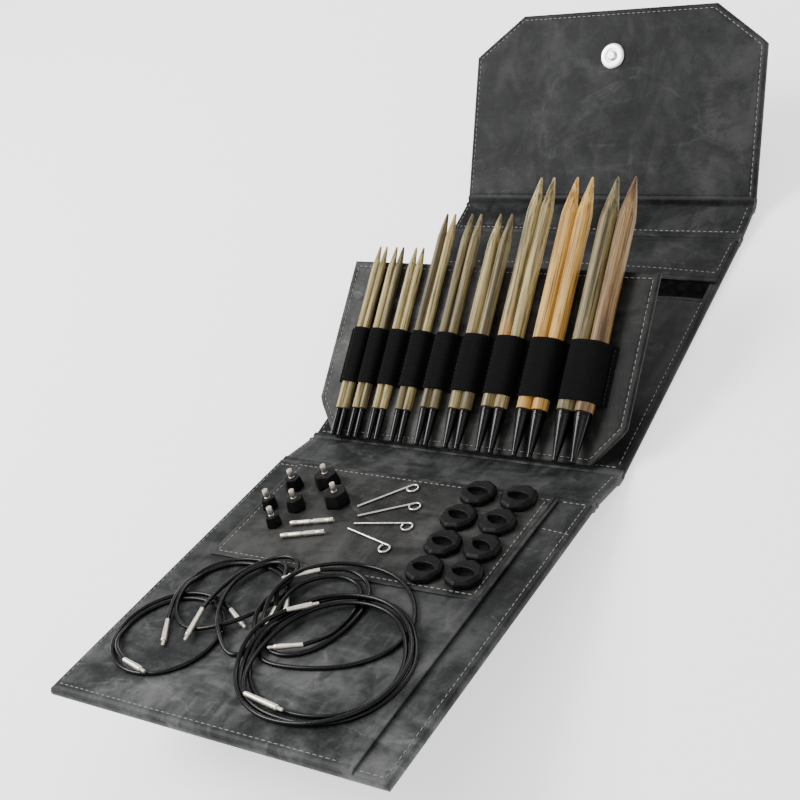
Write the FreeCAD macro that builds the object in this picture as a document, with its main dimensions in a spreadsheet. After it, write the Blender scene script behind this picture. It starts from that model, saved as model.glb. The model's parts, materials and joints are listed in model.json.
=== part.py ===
import FreeCAD, Part
import math
import os

V3 = FreeCAD.Vector
ROT = FreeCAD.Rotation
PL = FreeCAD.Placement

doc = FreeCAD.newDocument("needle_set")

# ---------------------------------------------------------------- dimensions
# millimetres and degrees; +X across the case, +Y from the front edge to the
# closing flap, +Z up.  The origin is the middle of the face the case rests on.
DIMS = [
    ("case_w", 158.0), ("cover_t", 4.0), ("skin", 0.8), ("fold_gap", 0.8),
    ("front_len", 156.3), ("front_tilt", 12.3),
    ("spine_a_len", 22.9), ("spine_a_tilt", 20.3),
    ("back_len", 149.6), ("back_base_t", 3.0),
    ("spine_b_len", 21.8), ("spine_b_tilt", 5.7),
    ("top_len", 95.0), ("top_tilt", 45.7), ("top_cham_x", 26.5), ("top_cham_y", 19.9),
    ("pocket_w", 143.5), ("pocket_len", 153.0), ("pocket_t", 1.0),
    ("pouch_x", 13.5), ("pouch_w", 128.5), ("pouch_y", 87.0), ("pouch_len", 66.5), ("pouch_t", 1.0),
    ("bpocket_w", 150.0), ("bpocket_y", 3.0), ("bpocket_len", 104.0),
    ("lip_y", 118.0), ("lip_len", 8.0),
    ("snap_r", 6.3), ("snap_t", 1.2), ("stud_r", 2.2), ("stud_len", 1.0), ("snap_y", 72.0), ("socket_y", 70.0),
    ("nflap_tilt", 27.7), ("nflap_w", 157.0), ("nflap_len", 86.5), ("nflap_y", 1.2), ("nflap_t", 2.0),
    ("nflap_cham_x", 12.5), ("nflap_cham_y", 16.5),
    ("band_x", 9.7), ("band_w", 136.6), ("band_y", 26.3), ("band_len", 26.3), ("band_t", 0.6),
    ("needle_base", 0.8), ("needle_gap", 0.3), ("tip_round", 0.7),
    ("len_short", 92.5), ("len_mid", 109.5), ("len_long", 127.0),
    ("dia_a", 3.25), ("dia_b", 3.5), ("dia_c", 3.75), ("dia_d", 4.0), ("dia_e", 4.5),
    ("dia_f", 5.5), ("dia_g", 6.0), ("dia_ha", 7.0), ("dia_k", 8.0),
    ("fer_a", 13.0), ("fer_b", 13.8), ("fer_c", 14.5), ("fer_d", 15.0), ("fer_e", 17.0),
    ("fer_f", 17.8), ("fer_g", 20.0), ("fer_ha", 20.6), ("fer_k", 21.6),
    ("fer_end_r", 1.25), ("fer_wall", 0.55),
    ("cap_h_l", 6.0), ("cap_h_m", 5.4), ("cap_h_s", 5.0),
    ("cap_r_l", 5.6), ("cap_r_m", 4.0), ("cap_r_s", 3.3), ("cap_taper", 0.86),
    ("barrel_r", 1.25), ("barrel_bore", 0.8), ("barrel_len", 5.5), ("barrel_out", 4.0),
    ("conn_r", 1.05), ("conn_len", 19.0), ("conn_groove", 0.25),
    ("key_wire", 0.9), ("key_len", 26.5), ("key_loop", 2.5),
    ("grip_r", 7.2), ("grip_t", 3.4), ("grip_slot_len", 9.6), ("grip_slot_w", 3.8), ("grip_slot_depth", 2.2),
    ("cord_d", 1.6), ("coil_t", 1.8), ("sleeve_r", 1.15), ("sleeve_cone", 9.0), ("sleeve_small_r", 0.85),
    ("lift_gap", 0.2),
]
sheet = doc.addObject("Spreadsheet::Sheet", "Dims")
for i, (alias, value) in enumerate(DIMS):
    sheet.set("A%d" % (i + 1), alias)
    sheet.set("B%d" % (i + 1), str(value))
    sheet.setAlias("B%d" % (i + 1), alias)
doc.recompute()
D = {alias: float(sheet.get(alias)) for alias, _ in DIMS}

NODES = []          # (node name, document object)


def keep(name, obj):
    obj.Label = name
    NODES.append((name, obj))
    return obj


def rx(deg, at=(0, 0, 0)):
    return PL(V3(*at), ROT(V3(1, 0, 0), deg))


def val(expr):
    if isinstance(expr, (int, float)):
        return float(expr)
    return float(sum_of(expr))


def sum_of(expr):
    """A sum of signed terms, each a product or quotient of aliases and numbers."""
    total, sign, term = 0.0, 1.0, ""
    out = []
    text = expr.replace(" ", "")
    k = 0
    while k < len(text):
        c = text[k]
        if c in "+-" and term and term[-1] not in "*/":
            out.append((sign, term))
            sign, term = (1.0 if c == "+" else -1.0), ""
        elif c in "+-" and not term:
            sign = 1.0 if c == "+" else -1.0
        else:
            term += c
        k += 1
    out.append((sign, term))
    for s, t in out:
        p = 1.0
        for j, piece in enumerate(t.replace("/", "*/").split("*")):
            inv = piece.startswith("/")
            piece = piece.lstrip("/")
            q = D[piece] if piece in D else float(piece)
            p = p / q if inv else p * q
        total += s * p
    return total


def bound(expr):
    """The same sum with every alias written as a cell of the sheet."""
    out, word = "", ""
    for c in expr + " ":
        if c.isalnum() or c in "_.":
            word += c
        else:
            out += ("Dims." + word) if word in D else word
            out += c
            word = ""
    return out.strip()


def put(obj, prop, expr):
    if isinstance(expr, (int, float)):
        setattr(obj, prop, expr)
    else:
        setattr(obj, prop, val(expr))
        obj.setExpression(prop, bound(expr))


def make(kind, name, props, place=None):
    o = doc.addObject(kind, name)
    for k, e in props.items():
        put(o, k, e)
    if place is not None:
        o.Placement = place
    return o


def box(name, lx, ly, lz, place):
    return make("Part::Box", name, {"Length": lx, "Width": ly, "Height": lz}, place)


def cyl(name, r, length, place):
    return make("Part::Cylinder", name, {"Radius": r, "Height": length}, place)


def cone(name, r1, r2, length, place):
    return make("Part::Cone", name, {"Radius1": r1, "Radius2": r2, "Height": length}, place)


def fuse(name, shapes):
    o = doc.addObject("Part::MultiFuse", name)
    o.Shapes = shapes
    return o


def cut(name, base, tool):
    o = doc.addObject("Part::Cut", name)
    o.Base, o.Tool = base, tool
    return o


def group(name, links):
    o = doc.addObject("Part::Compound", name)
    o.Links = links
    return o


def plate(name, corners, thick, place):
    """A padded outline: corners are pairs of expressions, all of them positive."""
    body = doc.addObject("PartDesign::Body", name)
    sk = body.newObject("Sketcher::SketchObject", name + "_outline")
    plane = [f for f in body.Origin.OriginFeatures if f.Role == "XY_Plane"][0]
    sk.AttachmentSupport = [(plane, "")]
    sk.MapMode = "FlatFace"
    pts = [V3(val(a), val(b), 0) for a, b in corners]
    n = len(pts)
    for i in range(n):
        sk.addGeometry(Part.LineSegment(pts[i], pts[(i + 1) % n]), False)
    import Sketcher
    for i in range(n):
        sk.addConstraint(Sketcher.Constraint("Coincident", i, 2, (i + 1) % n, 1))
    for i in range(n):
        for axis, k in (("X", 0), ("Y", 1)):
            e = corners[i][k]
            if not isinstance(e, str) and e == 0:
                sk.addConstraint(Sketcher.Constraint("PointOnObject", i, 1, -2 if k == 0 else -1))
                continue
            c = sk.addConstraint(Sketcher.Constraint("Distance" + axis, -1, 1, i, 1, val(e)))
            label = "c%s%d" % (axis, i)
            sk.renameConstraint(c, label)
            if isinstance(e, str):
                sk.setExpression("Constraints." + label, bound(e))
    pad = body.newObject("PartDesign::Pad", name + "_pad")
    pad.Profile = sk
    put(pad, "Length", thick)
    sk.Visibility = False
    body.Placement = place
    return body


# ------------------------------------------------------------ frames of the case
HW = D["case_w"] / 2
SEAM_Y, SEAM_Z = -D["back_len"] / 2, D["cover_t"]
F_BACK = PL(V3(-HW, SEAM_Y, 0), ROT())                         # z = 0 at the resting face
F_SPA = rx(-D["spine_a_tilt"], (0, SEAM_Y, SEAM_Z))            # local y runs from -len to 0
spa = D["spine_a_len"]
rel = math.radians(D["spine_a_tilt"] - D["front_tilt"])
SEAM_A = V3(0, D["front_len"] + spa * math.cos(rel), -spa * math.sin(rel))
F_FRONT = rx(-D["front_tilt"], (0, SEAM_Y, SEAM_Z)).multiply(PL(V3(-HW, -SEAM_A.y, -SEAM_A.z), ROT()))
F_SPB = rx(D["spine_b_tilt"], (0, -SEAM_Y, SEAM_Z))
b = math.radians(D["spine_b_tilt"])
TOP_Y, TOP_Z = -SEAM_Y + D["spine_b_len"] * math.cos(b), SEAM_Z + D["spine_b_len"] * math.sin(b)
F_TOP = rx(D["top_tilt"], (0, TOP_Y, TOP_Z))
FLAP_Z = SEAM_Z + 0.3
F_FLAP = rx(D["nflap_tilt"], (0, SEAM_Y, FLAP_Z)).multiply(PL(V3(-HW, 0, 0), ROT()))


def at(frame, x, y, z, r=None):
    return frame.multiply(PL(V3(x, y, z), r or ROT()))


# ------------------------------------------------------------------ front panel
t, s, g = "cover_t", "skin", "fold_gap"
T, S, G = D["cover_t"], D["skin"], D["fold_gap"]
outer = plate("front_outer", [(0, 0), ("case_w", 0), ("case_w", "front_len-fold_gap"), (0, "front_len-fold_gap")],
              "cover_t", at(F_FRONT, 0, 0, -T))
cavity = box("front_cavity", "case_w-8*skin", "front_len-fold_gap-8*skin", "cover_t-2*skin",
             at(F_FRONT, 4 * S, 4 * S, -T + S))
keep("front_panel_cover", cut("front_panel_cover", outer, cavity))
keep("front_board", box("front_board", "case_w-8*skin", "front_len-fold_gap-8*skin", "cover_t-2*skin",
                        at(F_FRONT, 4 * S, 4 * S, -T + S)))
keep("cord_pocket", plate("cord_pocket", [(0, 0), ("pocket_w", 0), ("pocket_w", "pocket_len"), (0, "pocket_len")],
                          "pocket_t", at(F_FRONT, 0, 0.6, 0)))
keep("accessory_pouch", plate("accessory_pouch", [(0, 0), ("pouch_w", 0), ("pouch_w", "pouch_len"), (0, "pouch_len")],
                              "pouch_t", at(F_FRONT, D["pouch_x"], D["pouch_y"], D["pocket_t"])))
keep("snap_socket", cyl("snap_socket", "snap_r", "snap_t",
                        at(F_FRONT, HW, D["socket_y"], -T - D["snap_t"])))

# ----------------------------------------------------------------------- spines
keep("spine_front", plate("spine_front", [(0, 0), ("case_w", 0), ("case_w", "spine_a_len-2*fold_gap"), (0, "spine_a_len-2*fold_gap")],
                          "cover_t", at(F_SPA, -HW, -spa + G, -T)))
keep("spine_back", plate("spine_back", [(0, 0), ("case_w", 0), ("case_w", "spine_b_len-2*fold_gap"), (0, "spine_b_len-2*fold_gap")],
                         "cover_t", at(F_SPB, -HW, G, -T)))

# ------------------------------------------------------------------- back panel
BB = D["back_base_t"]
outer = plate("back_outer", [(0, 0), ("case_w", 0), ("case_w", "back_len-2*fold_gap"), (0, "back_len-2*fold_gap")],
              "back_base_t", at(F_BACK, 0, G, 0))
cavity = box("back_cavity", "case_w-8*skin", "back_len-2*fold_gap-8*skin", "back_base_t-2*skin",
             at(F_BACK, 4 * S, G + 4 * S, S))
keep("back_panel_cover", cut("back_panel_cover", outer, cavity))
keep("back_board", box("back_board", "case_w-8*skin", "back_len-2*fold_gap-8*skin", "back_base_t-2*skin",
                       at(F_BACK, 4 * S, G + 4 * S, S)))
keep("back_pocket", plate("back_pocket", [(0, 0), ("bpocket_w", 0), ("bpocket_w", "bpocket_len"), (0, "bpocket_len")],
                          "cover_t-back_base_t", at(F_BACK, (D["case_w"] - D["bpocket_w"]) / 2, D["bpocket_y"], BB)))
keep("pocket_lip", plate("pocket_lip", [(0, 0), ("case_w", 0), ("case_w", "back_len-fold_gap-lip_y"), (0, "back_len-fold_gap-lip_y")],
                         "cover_t-back_base_t", at(F_BACK, 0, D["lip_y"], BB)))

# -------------------------------------------------------------------- top flap
cx, cy = "top_cham_x", "top_cham_y"
outer = plate("top_outer", [(0, 0), ("case_w", 0), ("case_w", "top_len-fold_gap-top_cham_y"),
                            ("case_w-top_cham_x", "top_len-fold_gap"), ("top_cham_x", "top_len-fold_gap"),
                            (0, "top_len-fold_gap-top_cham_y")],
              "cover_t", at(F_TOP, -HW, G, -T))
cavity = plate("top_cavity", [(0, 0), ("case_w-8*skin", 0), ("case_w-8*skin", "top_len-fold_gap-8*skin-top_cham_y"),
                              ("case_w-8*skin-top_cham_x", "top_len-fold_gap-8*skin"), ("top_cham_x", "top_len-fold_gap-8*skin"),
                              (0, "top_len-fold_gap-8*skin-top_cham_y")],
               "cover_t-2*skin", at(F_TOP, -HW + 4 * S, G + 4 * S, -T + S))
keep("top_flap_cover", cut("top_flap_cover", outer, cavity))
keep("top_flap_board", plate("top_flap_board", [(0, 0), ("case_w-8*skin", 0), ("case_w-8*skin", "top_len-fold_gap-8*skin-top_cham_y"),
                              ("case_w-8*skin-top_cham_x", "top_len-fold_gap-8*skin"), ("top_cham_x", "top_len-fold_gap-8*skin"),
                              (0, "top_len-fold_gap-8*skin-top_cham_y")],
               "cover_t-2*skin", at(F_TOP, -HW + 4 * S, G + 4 * S, -T + S)))
keep("snap_stud", fuse("snap_stud", [
    cyl("snap_disc", "snap_r", "snap_t", at(F_TOP, 0, D["snap_y"], 0)),
    cyl("snap_pip", "stud_r", "snap_t+stud_len", at(F_TOP, 0, D["snap_y"], 0))]))

# ------------------------------------------------------------------ needle flap
fx = (D["case_w"] - D["nflap_w"]) / 2
keep("needle_flap", plate("needle_flap", [("nflap_cham_x", 0), ("nflap_w-nflap_cham_x", 0), ("nflap_w", "nflap_cham_y"),
                                          ("nflap_w", "nflap_len-nflap_y"), (0, "nflap_len-nflap_y"), (0, "nflap_cham_y")],
                          "nflap_t", at(F_FLAP, fx, D["nflap_y"], 0)))

PAIRS = [  # letter, middle of the pair across the case, its length, its diameter and ferrule cells
    ("1", 16.2, "len_short", "dia_a", "fer_a"), ("2", 25.6, "len_short", "dia_b", "fer_b"),
    ("3", 36.8, "len_short", "dia_c", "fer_c"), ("4", 49.5, "len_mid", "dia_d", "fer_d"),
    ("5", 63.2, "len_mid", "dia_e", "fer_e"), ("6", 79.0, "len_mid", "dia_f", "fer_f"),
    ("7", 95.9, "len_long", "dia_g", "fer_g"), ("8", 114.5, "len_long", "dia_ha", "fer_ha"),
    ("9", 134.7, "len_long", "dia_k", "fer_k")]
FT = D["nflap_t"]

# elastic band: one strip that follows the flap and rises over each pair
bt = D["band_t"]
left, right = D["band_x"], D["band_x"] + D["band_w"]
low, high = [], []
for _, xm, _, dia, _ in PAIRS:
    half = D[dia] + D["needle_gap"] / 2 + 0.3
    top = FT + D["lift_gap"] + D[dia] + 0.4
    edge = min(1.0, D[dia] * 0.3)
    low += [(xm - half, FT), (xm - half, top - edge), (xm - half + edge, top), (xm + half - edge, top), (xm + half, top - edge), (xm + half, FT)]
    high += [(xm - half - bt, FT + bt), (xm - half - bt, top + bt - edge - 0.3), (xm - half + edge - 0.3, top + bt),
             (xm + half - edge + 0.3, top + bt), (xm + half + bt, top + bt - edge - 0.3), (xm + half + bt, FT + bt)]
outline = [(left, FT), (left, FT + bt)] + high + [(right, FT + bt), (right, FT)] + low[::-1]
wire = Part.makePolygon([V3(x, 0, z) for x, z in outline + outline[:1]])
band = doc.addObject("Part::Feature", "elastic_band")
band.Shape = Part.Face(wire).extrude(V3(0, D["band_len"], 0))
band.Placement = at(F_FLAP, 0, D["band_y"], 0)
keep("elastic_band", band)

ALONG = ROT(V3(1, 0, 0), -90)          # a primitive's own +Z turned to run up the flap
for tag, xm, length, dia, fer in PAIRS:
    woods, ferrules = [], []
    r = D[dia] / 2
    for k, side in enumerate((-1, 1)):
        x = xm + side * (r + D["needle_gap"] / 2)
        z = FT + D["lift_gap"] + r
        nm = "n%s%s" % (tag, "ab"[k])
        y0 = D["needle_base"]
        taper = 2.6 * D[dia] + 6.0
        shaft = val(length) - D[fer] - taper
        body = cyl(nm + "_shaft", dia + "/2", length + "-" + fer + "-%.4f" % taper, at(F_FLAP, x, y0 + D[fer], z, ALONG))
        tip = cone(nm + "_tip", dia + "/2", "tip_round", taper - D["tip_round"], at(F_FLAP, x, y0 + D[fer] + shaft, z, ALONG))
        nose = make("Part::Sphere", nm + "_nose", {"Radius": "tip_round"},
                    at(F_FLAP, x, y0 + D[fer] + shaft + taper - D["tip_round"], z, ALONG))
        woods.append(fuse(nm + "_wood", [body, tip, nose]))
        # ferrule: collar at the wood, long cone, plain neck, threaded socket inside
        collar = 2.4
        neck = 2.2
        fr = dia + "/2-0.25"
        c1 = cyl(nm + "_collar", fr, collar, at(F_FLAP, x, y0 + D[fer] - collar, z, ALONG))
        c2 = cone(nm + "_cone", "fer_end_r", fr, fer + "-%.4f" % (collar + neck), at(F_FLAP, x, y0 + neck, z, ALONG))
        c3 = cyl(nm + "_neck", "fer_end_r", neck, at(F_FLAP, x, y0, z, ALONG))
        hole = cyl(nm + "_thread", "fer_end_r-fer_wall", neck + 4.0, at(F_FLAP, x, y0 - 0.01, z, ALONG))
        ferrules.append(cut(nm + "_ferrule", fuse(nm + "_metal", [c1, c2, c3]), hole))
    keep("needle_tips_%s" % tag, group("needle_tips_%s" % tag, woods))
    keep("ferrules_%s" % tag, group("ferrules_%s" % tag, ferrules))

# -------------------------------------------------- pieces lying on the front panel
PTOP = D["pocket_t"] + D["pouch_t"] + D["lift_gap"]     # on the pouch
STOP = D["pocket_t"] + D["lift_gap"] + 0.1              # on the cord pocket


def end_cap(nm, x, y, r, h, turn):
    foot = make("Part::RegularPolygon", nm + "_foot", {"Circumradius": r, "Polygon": 6},
                at(F_FRONT, x, y, PTOP, ROT(V3(0, 0, 1), turn)))
    crown = make("Part::RegularPolygon", nm + "_crown", {"Circumradius": r + "*cap_taper", "Polygon": 6},
                 at(F_FRONT, x, y, PTOP + D[h], ROT(V3(0, 0, 1), turn)))
    loft = doc.addObject("Part::Loft", nm + "_block")
    loft.Sections = [foot, crown]
    loft.Solid, loft.Ruled = True, True
    z0 = PTOP + D[h] + D["barrel_out"] - D["barrel_len"]
    seat = cyl(nm + "_seat", "barrel_r", "barrel_len", at(F_FRONT, x, y, z0))
    blk = cut(nm, loft, seat)
    rod = cyl(nm + "_rod", "barrel_r", "barrel_len", at(F_FRONT, x, y, z0))
    bore = cyl(nm + "_bore", "barrel_bore", "barrel_out-0.1", at(F_FRONT, x, y, PTOP + D[h] + 0.11))
    return blk, cut(nm + "_barrel", rod, bore)


CAPS = [("large", "cap_r_l", "cap_h_l", [(50.5, 129.5, 12), (38.0, 140.5, 20)]),
        ("medium", "cap_r_m", "cap_h_m", [(34.0, 122.0, 5), (23.5, 135.0, 25)]),
        ("small", "cap_r_s", "cap_h_s", [(31.0, 109.5, 15), (21.0, 120.0, 8)])]
for size, r, h, spots in CAPS:
    made = [end_cap("cap_%s_%d" % (size, i), x, y, r, h, turn) for i, (x, y, turn) in enumerate(spots)]
    keep("end_caps_%s" % size, group("end_caps_%s" % size, [m[0] for m in made]))
    keep("cap_barrels_%s" % size, group("cap_barrels_%s" % size, [m[1] for m in made]))
cap_x, cap_y, _ = CAPS[0][3][0]
MOUTH = at(F_FRONT, cap_x, cap_y, PTOP + D["cap_h_l"] + D["barrel_out"]).Base

# cord connectors: short tubes with a groove round the middle
conns = []
for i, (x, y, ang) in enumerate(((39.0, 110.8, 19.9), (40.0, 102.3, 21.2))):
    z = PTOP + D["conn_r"]
    turn = ROT(V3(0, 0, 1), ang).multiply(ROT(V3(0, 1, 0), 90))
    nm = "connector_%d" % i
    ca, sa = math.cos(math.radians(ang)), math.sin(math.radians(ang))
    half = (D["conn_len"] - 1.2) / 2
    a = cyl(nm + "_a", "conn_r", "conn_len/2-0.6", at(F_FRONT, x, y, z, turn))
    m = cyl(nm + "_m", "conn_r-conn_groove", "1.2", at(F_FRONT, x + half * ca, y + half * sa, z, turn))
    c = cyl(nm + "_c", "conn_r", "conn_len/2-0.6", at(F_FRONT, x + (half + 1.2) * ca, y + (half + 1.2) * sa, z, turn))
    conns.append(fuse(nm, [a, m, c]))
keep("cord_connectors", group("cord_connectors", conns))

# tightening keys: bent wire, a straight pin with a D-shaped eye
KEYS = [(61.5, 128.5, 49.0), (65.5, 122.7, 33.0), (67.0, 117.8, 13.0), (66.5, 114.2, -14.0)]
for i, (x, y, ang) in enumerate(KEYS):
    w, L, q = D["key_wire"] / 2, D["key_len"], D["key_loop"]
    p = [V3(0, 0, 0), V3(L - 2.0, 0, 0)]
    arcs = [Part.LineSegment(p[0], p[1]).toShape(),
            Part.Arc(p[1], V3(L - 2.0 + q * 0.78, -q * 0.72, 0), V3(L - 2.0, -2 * q * 0.9, 0)).toShape(),
            Part.Arc(V3(L - 2.0, -2 * q * 0.9, 0), V3(L - 2.0 - q * 1.05, -q * 1.15, 0), V3(L - 2.0 - q * 1.0, -2.1 * w, 0)).toShape()]
    path = Part.Wire(arcs)
    prof = Part.Wire([Part.Circle(p[0], V3(1, 0, 0), w).toShape()])
    body = path.makePipeShell([prof], True, False, 2)
    key = doc.addObject("Part::Feature", "key_%d" % (i + 1))
    key.Shape = body
    key.Placement = at(F_FRONT, x, y, PTOP + w, ROT(V3(0, 0, 1), ang))
    keep("tightening_key_%d" % (i + 1), key)

# rubber grips: round pads with a lens-shaped pocket in the top
GRIPS = [[(110.5, 146.6, -8), (129.0, 147.2, -6)], [(110.5, 130.3, -14), (128.2, 130.8, -16)],
         [(113.0, 113.4, -10), (130.2, 114.6, -22)], [(114.0, 97.4, -4), (131.3, 98.4, -4)]]
for i, row in enumerate(GRIPS):
    pads = []
    for k, (x, y, ang) in enumerate(row):
        nm = "grip_%d%s" % (i + 1, "ab"[k])
        disc = make("Part::Prism", nm + "_disc", {"Polygon": 12, "Circumradius": "grip_r", "Height": "grip_t"},
                    at(F_FRONT, x, y, PTOP, ROT(V3(0, 0, 1), ang)))
        a2, w2 = D["grip_slot_len"] / 2, D["grip_slot_w"] / 2
        big = (a2 * a2 + w2 * w2) / (2 * w2)
        lens = doc.addObject("Part::MultiCommon", nm + "_lens")
        z0 = PTOP + D["grip_t"] - D["grip_slot_depth"]
        turn = math.radians(ang)
        off = big - w2
        lens.Shapes = [cyl(nm + "_la", big, "grip_slot_depth+0.5", at(F_FRONT, x - off * math.sin(turn), y + off * math.cos(turn), z0)),
                       cyl(nm + "_lb", big, "grip_slot_depth+0.5", at(F_FRONT, x + off * math.sin(turn), y - off * math.cos(turn), z0))]
        pads.append(cut(nm, disc, lens))
    keep("grips_%d" % (i + 1), group("grips_%d" % (i + 1), pads))

# cords: each lies in loose turns; the coil is held as one flat closed ring
COILS = [  # centre, half sizes, hole centre, hole half sizes, level
    ("1", 32.0, 39.0, 24.5, 22.5, 32.0, 39.0, 19.0, 17.0, 0),
    ("2", 42.0, 66.0, 23.5, 23.0, 42.0, 66.0, 18.0, 17.0, 1),
    ("3", 54.0, 64.0, 16.5, 26.0, 51.0, 73.0, 9.5, 9.6, 2),
    ("4", 97.0, 66.0, 30.5, 27.0, 86.0, 67.0, 13.0, 18.0, 1),
    ("5", 107.0, 45.0, 33.0, 31.0, 107.0, 45.0, 26.0, 24.0, 0)]
LEVEL = D["coil_t"] + 0.6
zc = [STOP + k * LEVEL for k in range(3)]


def oval(nm, x, y, a, bb, z, thick):
    turn = ROT() if a >= bb else ROT(V3(0, 0, 1), 90)
    e = make("Part::Ellipse", nm + "_edge", {"MajorRadius": max(a, bb), "MinorRadius": min(a, bb)},
             at(F_FRONT, x, y, z, turn))
    x_ = doc.addObject("Part::Extrusion", nm)
    x_.Base = e
    x_.DirMode = "Custom"
    x_.Dir = F_FRONT.Rotation.multVec(V3(0, 0, 1))
    put(x_, "LengthFwd", thick)
    x_.Solid = True
    return x_


for tag, x, y, a, bb, hx, hy, ha, hb, lv in COILS:
    full = oval("coil%s_out" % tag, x, y, a, bb, zc[lv], "coil_t")
    hole = oval("coil%s_in" % tag, hx, hy, ha, hb, zc[lv] - 0.5, "coil_t+1")
    keep("cord_%s" % tag, cut("cord_%s" % tag, full, hole))

ENDS = {  # from the cord's side to the threaded end: start, end, height of the middle line
    "1": [((24.5, 19.5), (38.0, 16.3), zc[0] + D["coil_t"] + 1.2), ((47.6, 57.4), (60.5, 50.0), zc[0] + 1.15)],
    "2": [((24.7, 45.0), (33.0, 32.0), zc[0] + 1.15), ((66.3, 70.3), (72.4, 60.6), zc[0] + 1.15)],
    "3": [((37.0, 53.0), (41.6, 36.0), zc[0] + 1.15), ((65.6, 63.5), (69.2, 49.8), zc[0] + 1.15)],
    "4": [((73.5, 84.6), (60.6, 76.2), zc[2] + D["coil_t"] + 1.2), ((91.5, 46.6), (78.6, 41.3), zc[1] + D["coil_t"] + 1.2)],
    "5": [((85.6, 18.2), (105.0, 15.2), zc[0] + D["coil_t"] + 1.2), ((76.4, 58.8), (85.6, 66.8), zc[1] + 1.3)]}
for tag, two in ENDS.items():
    sleeves = []
    for k, ((xa, ya), (xb, yb), z) in enumerate(two):
        L = math.hypot(xb - xa, yb - ya)
        ang = math.degrees(math.atan2(yb - ya, xb - xa))
        turn = ROT(V3(0, 0, 1), ang).multiply(ROT(V3(0, 1, 0), 90))
        ux, uy = (xb - xa) / L, (yb - ya) / L
        nm = "end%s%s" % (tag, "ab"[k])
        cl = D["sleeve_cone"] if L > 13 else 0.6 * L
        stud = 2.6
        p1 = cone(nm + "_taper", "sleeve_small_r", "sleeve_r", cl, at(F_FRONT, xa, ya, z, turn))
        p2 = cyl(nm + "_barrel", "sleeve_r", L - cl - stud, at(F_FRONT, xa + ux * cl, ya + uy * cl, z, turn))
        p3 = cyl(nm + "_stud", "sleeve_r-0.4", stud, at(F_FRONT, xb - ux * stud, yb - uy * stud, z, turn))
        sleeves.append(fuse(nm, [p1, p2, p3]))
    keep("cord_ends_%s" % tag, group("cord_ends_%s" % tag, sleeves))

doc.recompute()

bad = [o.Name for o in doc.Objects if any(w in o.State for w in ("Invalid", "Error"))]
if bad:
    raise SystemExit("objects that did not build: %s" % bad)
names = [n for n, _ in NODES]
if len(set(names)) != len(names) or len(names) > 60:
    raise SystemExit("node names: %d, %d different" % (len(names), len(set(names))))
for name, obj in NODES:
    if obj.Shape.isNull() or not obj.Shape.isValid() or obj.Shape.Volume <= 0:
        raise SystemExit("bad shape: " + name)
os.makedirs("parts", exist_ok=True)
for old in os.listdir("parts"):
    if old.endswith(".step"):
        os.remove(os.path.join("parts", old))
for name, obj in NODES:
    obj.Shape.exportStep("parts/%s.step" % name)
print(len(names), "nodes; cord coils have no free tube, so no arc radii; coil half sizes:",
      [(c[0], c[3], c[4]) for c in COILS])
print("cap socket mouth", [round(v, 3) for v in MOUTH], "front frame", F_FRONT)
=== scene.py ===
import bpy, json, math
import numpy as np
from mathutils import Matrix, Vector, noise

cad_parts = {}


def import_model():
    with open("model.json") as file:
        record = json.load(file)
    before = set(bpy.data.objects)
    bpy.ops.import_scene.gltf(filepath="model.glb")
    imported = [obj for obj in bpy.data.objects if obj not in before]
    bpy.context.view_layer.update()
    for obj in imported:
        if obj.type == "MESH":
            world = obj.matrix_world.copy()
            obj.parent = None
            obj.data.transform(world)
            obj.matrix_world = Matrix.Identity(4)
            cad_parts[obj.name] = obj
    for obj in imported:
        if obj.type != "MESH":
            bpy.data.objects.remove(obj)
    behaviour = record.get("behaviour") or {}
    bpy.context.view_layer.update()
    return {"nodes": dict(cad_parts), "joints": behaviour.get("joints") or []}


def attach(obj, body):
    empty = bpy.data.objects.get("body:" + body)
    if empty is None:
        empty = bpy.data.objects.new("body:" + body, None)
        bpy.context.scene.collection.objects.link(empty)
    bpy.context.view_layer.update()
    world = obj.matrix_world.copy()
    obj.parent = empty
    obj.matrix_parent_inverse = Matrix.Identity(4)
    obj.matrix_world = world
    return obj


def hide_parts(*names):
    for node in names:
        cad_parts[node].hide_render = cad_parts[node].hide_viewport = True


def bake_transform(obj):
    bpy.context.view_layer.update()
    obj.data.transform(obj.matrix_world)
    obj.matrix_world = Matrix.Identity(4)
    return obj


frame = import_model()
scene = bpy.context.scene
MM = 0.001

# ------------------------------------------------------------------ camera
cam_data = bpy.data.cameras.new("camera")
cam = bpy.data.objects.new("camera", cam_data)
scene.collection.objects.link(cam)
cam_data.sensor_width = 36.0
cam_data.lens = 65.7165
cam_data.clip_start, cam_data.clip_end = 0.02, 20.0
cam.matrix_world = Matrix(((0.821767, -0.085509, 0.563372, 0.33481),
                           (0.450836, 0.702218, -0.551033, -0.418011),
                           (-0.348491, 0.706809, 0.615609, 0.418738),
                           (0, 0, 0, 1)))
scene.camera = cam

# ------------------------------------------------- frames of the case (mm, degrees)
JOINT = {j["name"]: j for j in frame["joints"]}


def rx(deg, at):
    return Matrix.Translation(Vector(at)) @ Matrix.Rotation(math.radians(deg), 4, "X")


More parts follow.
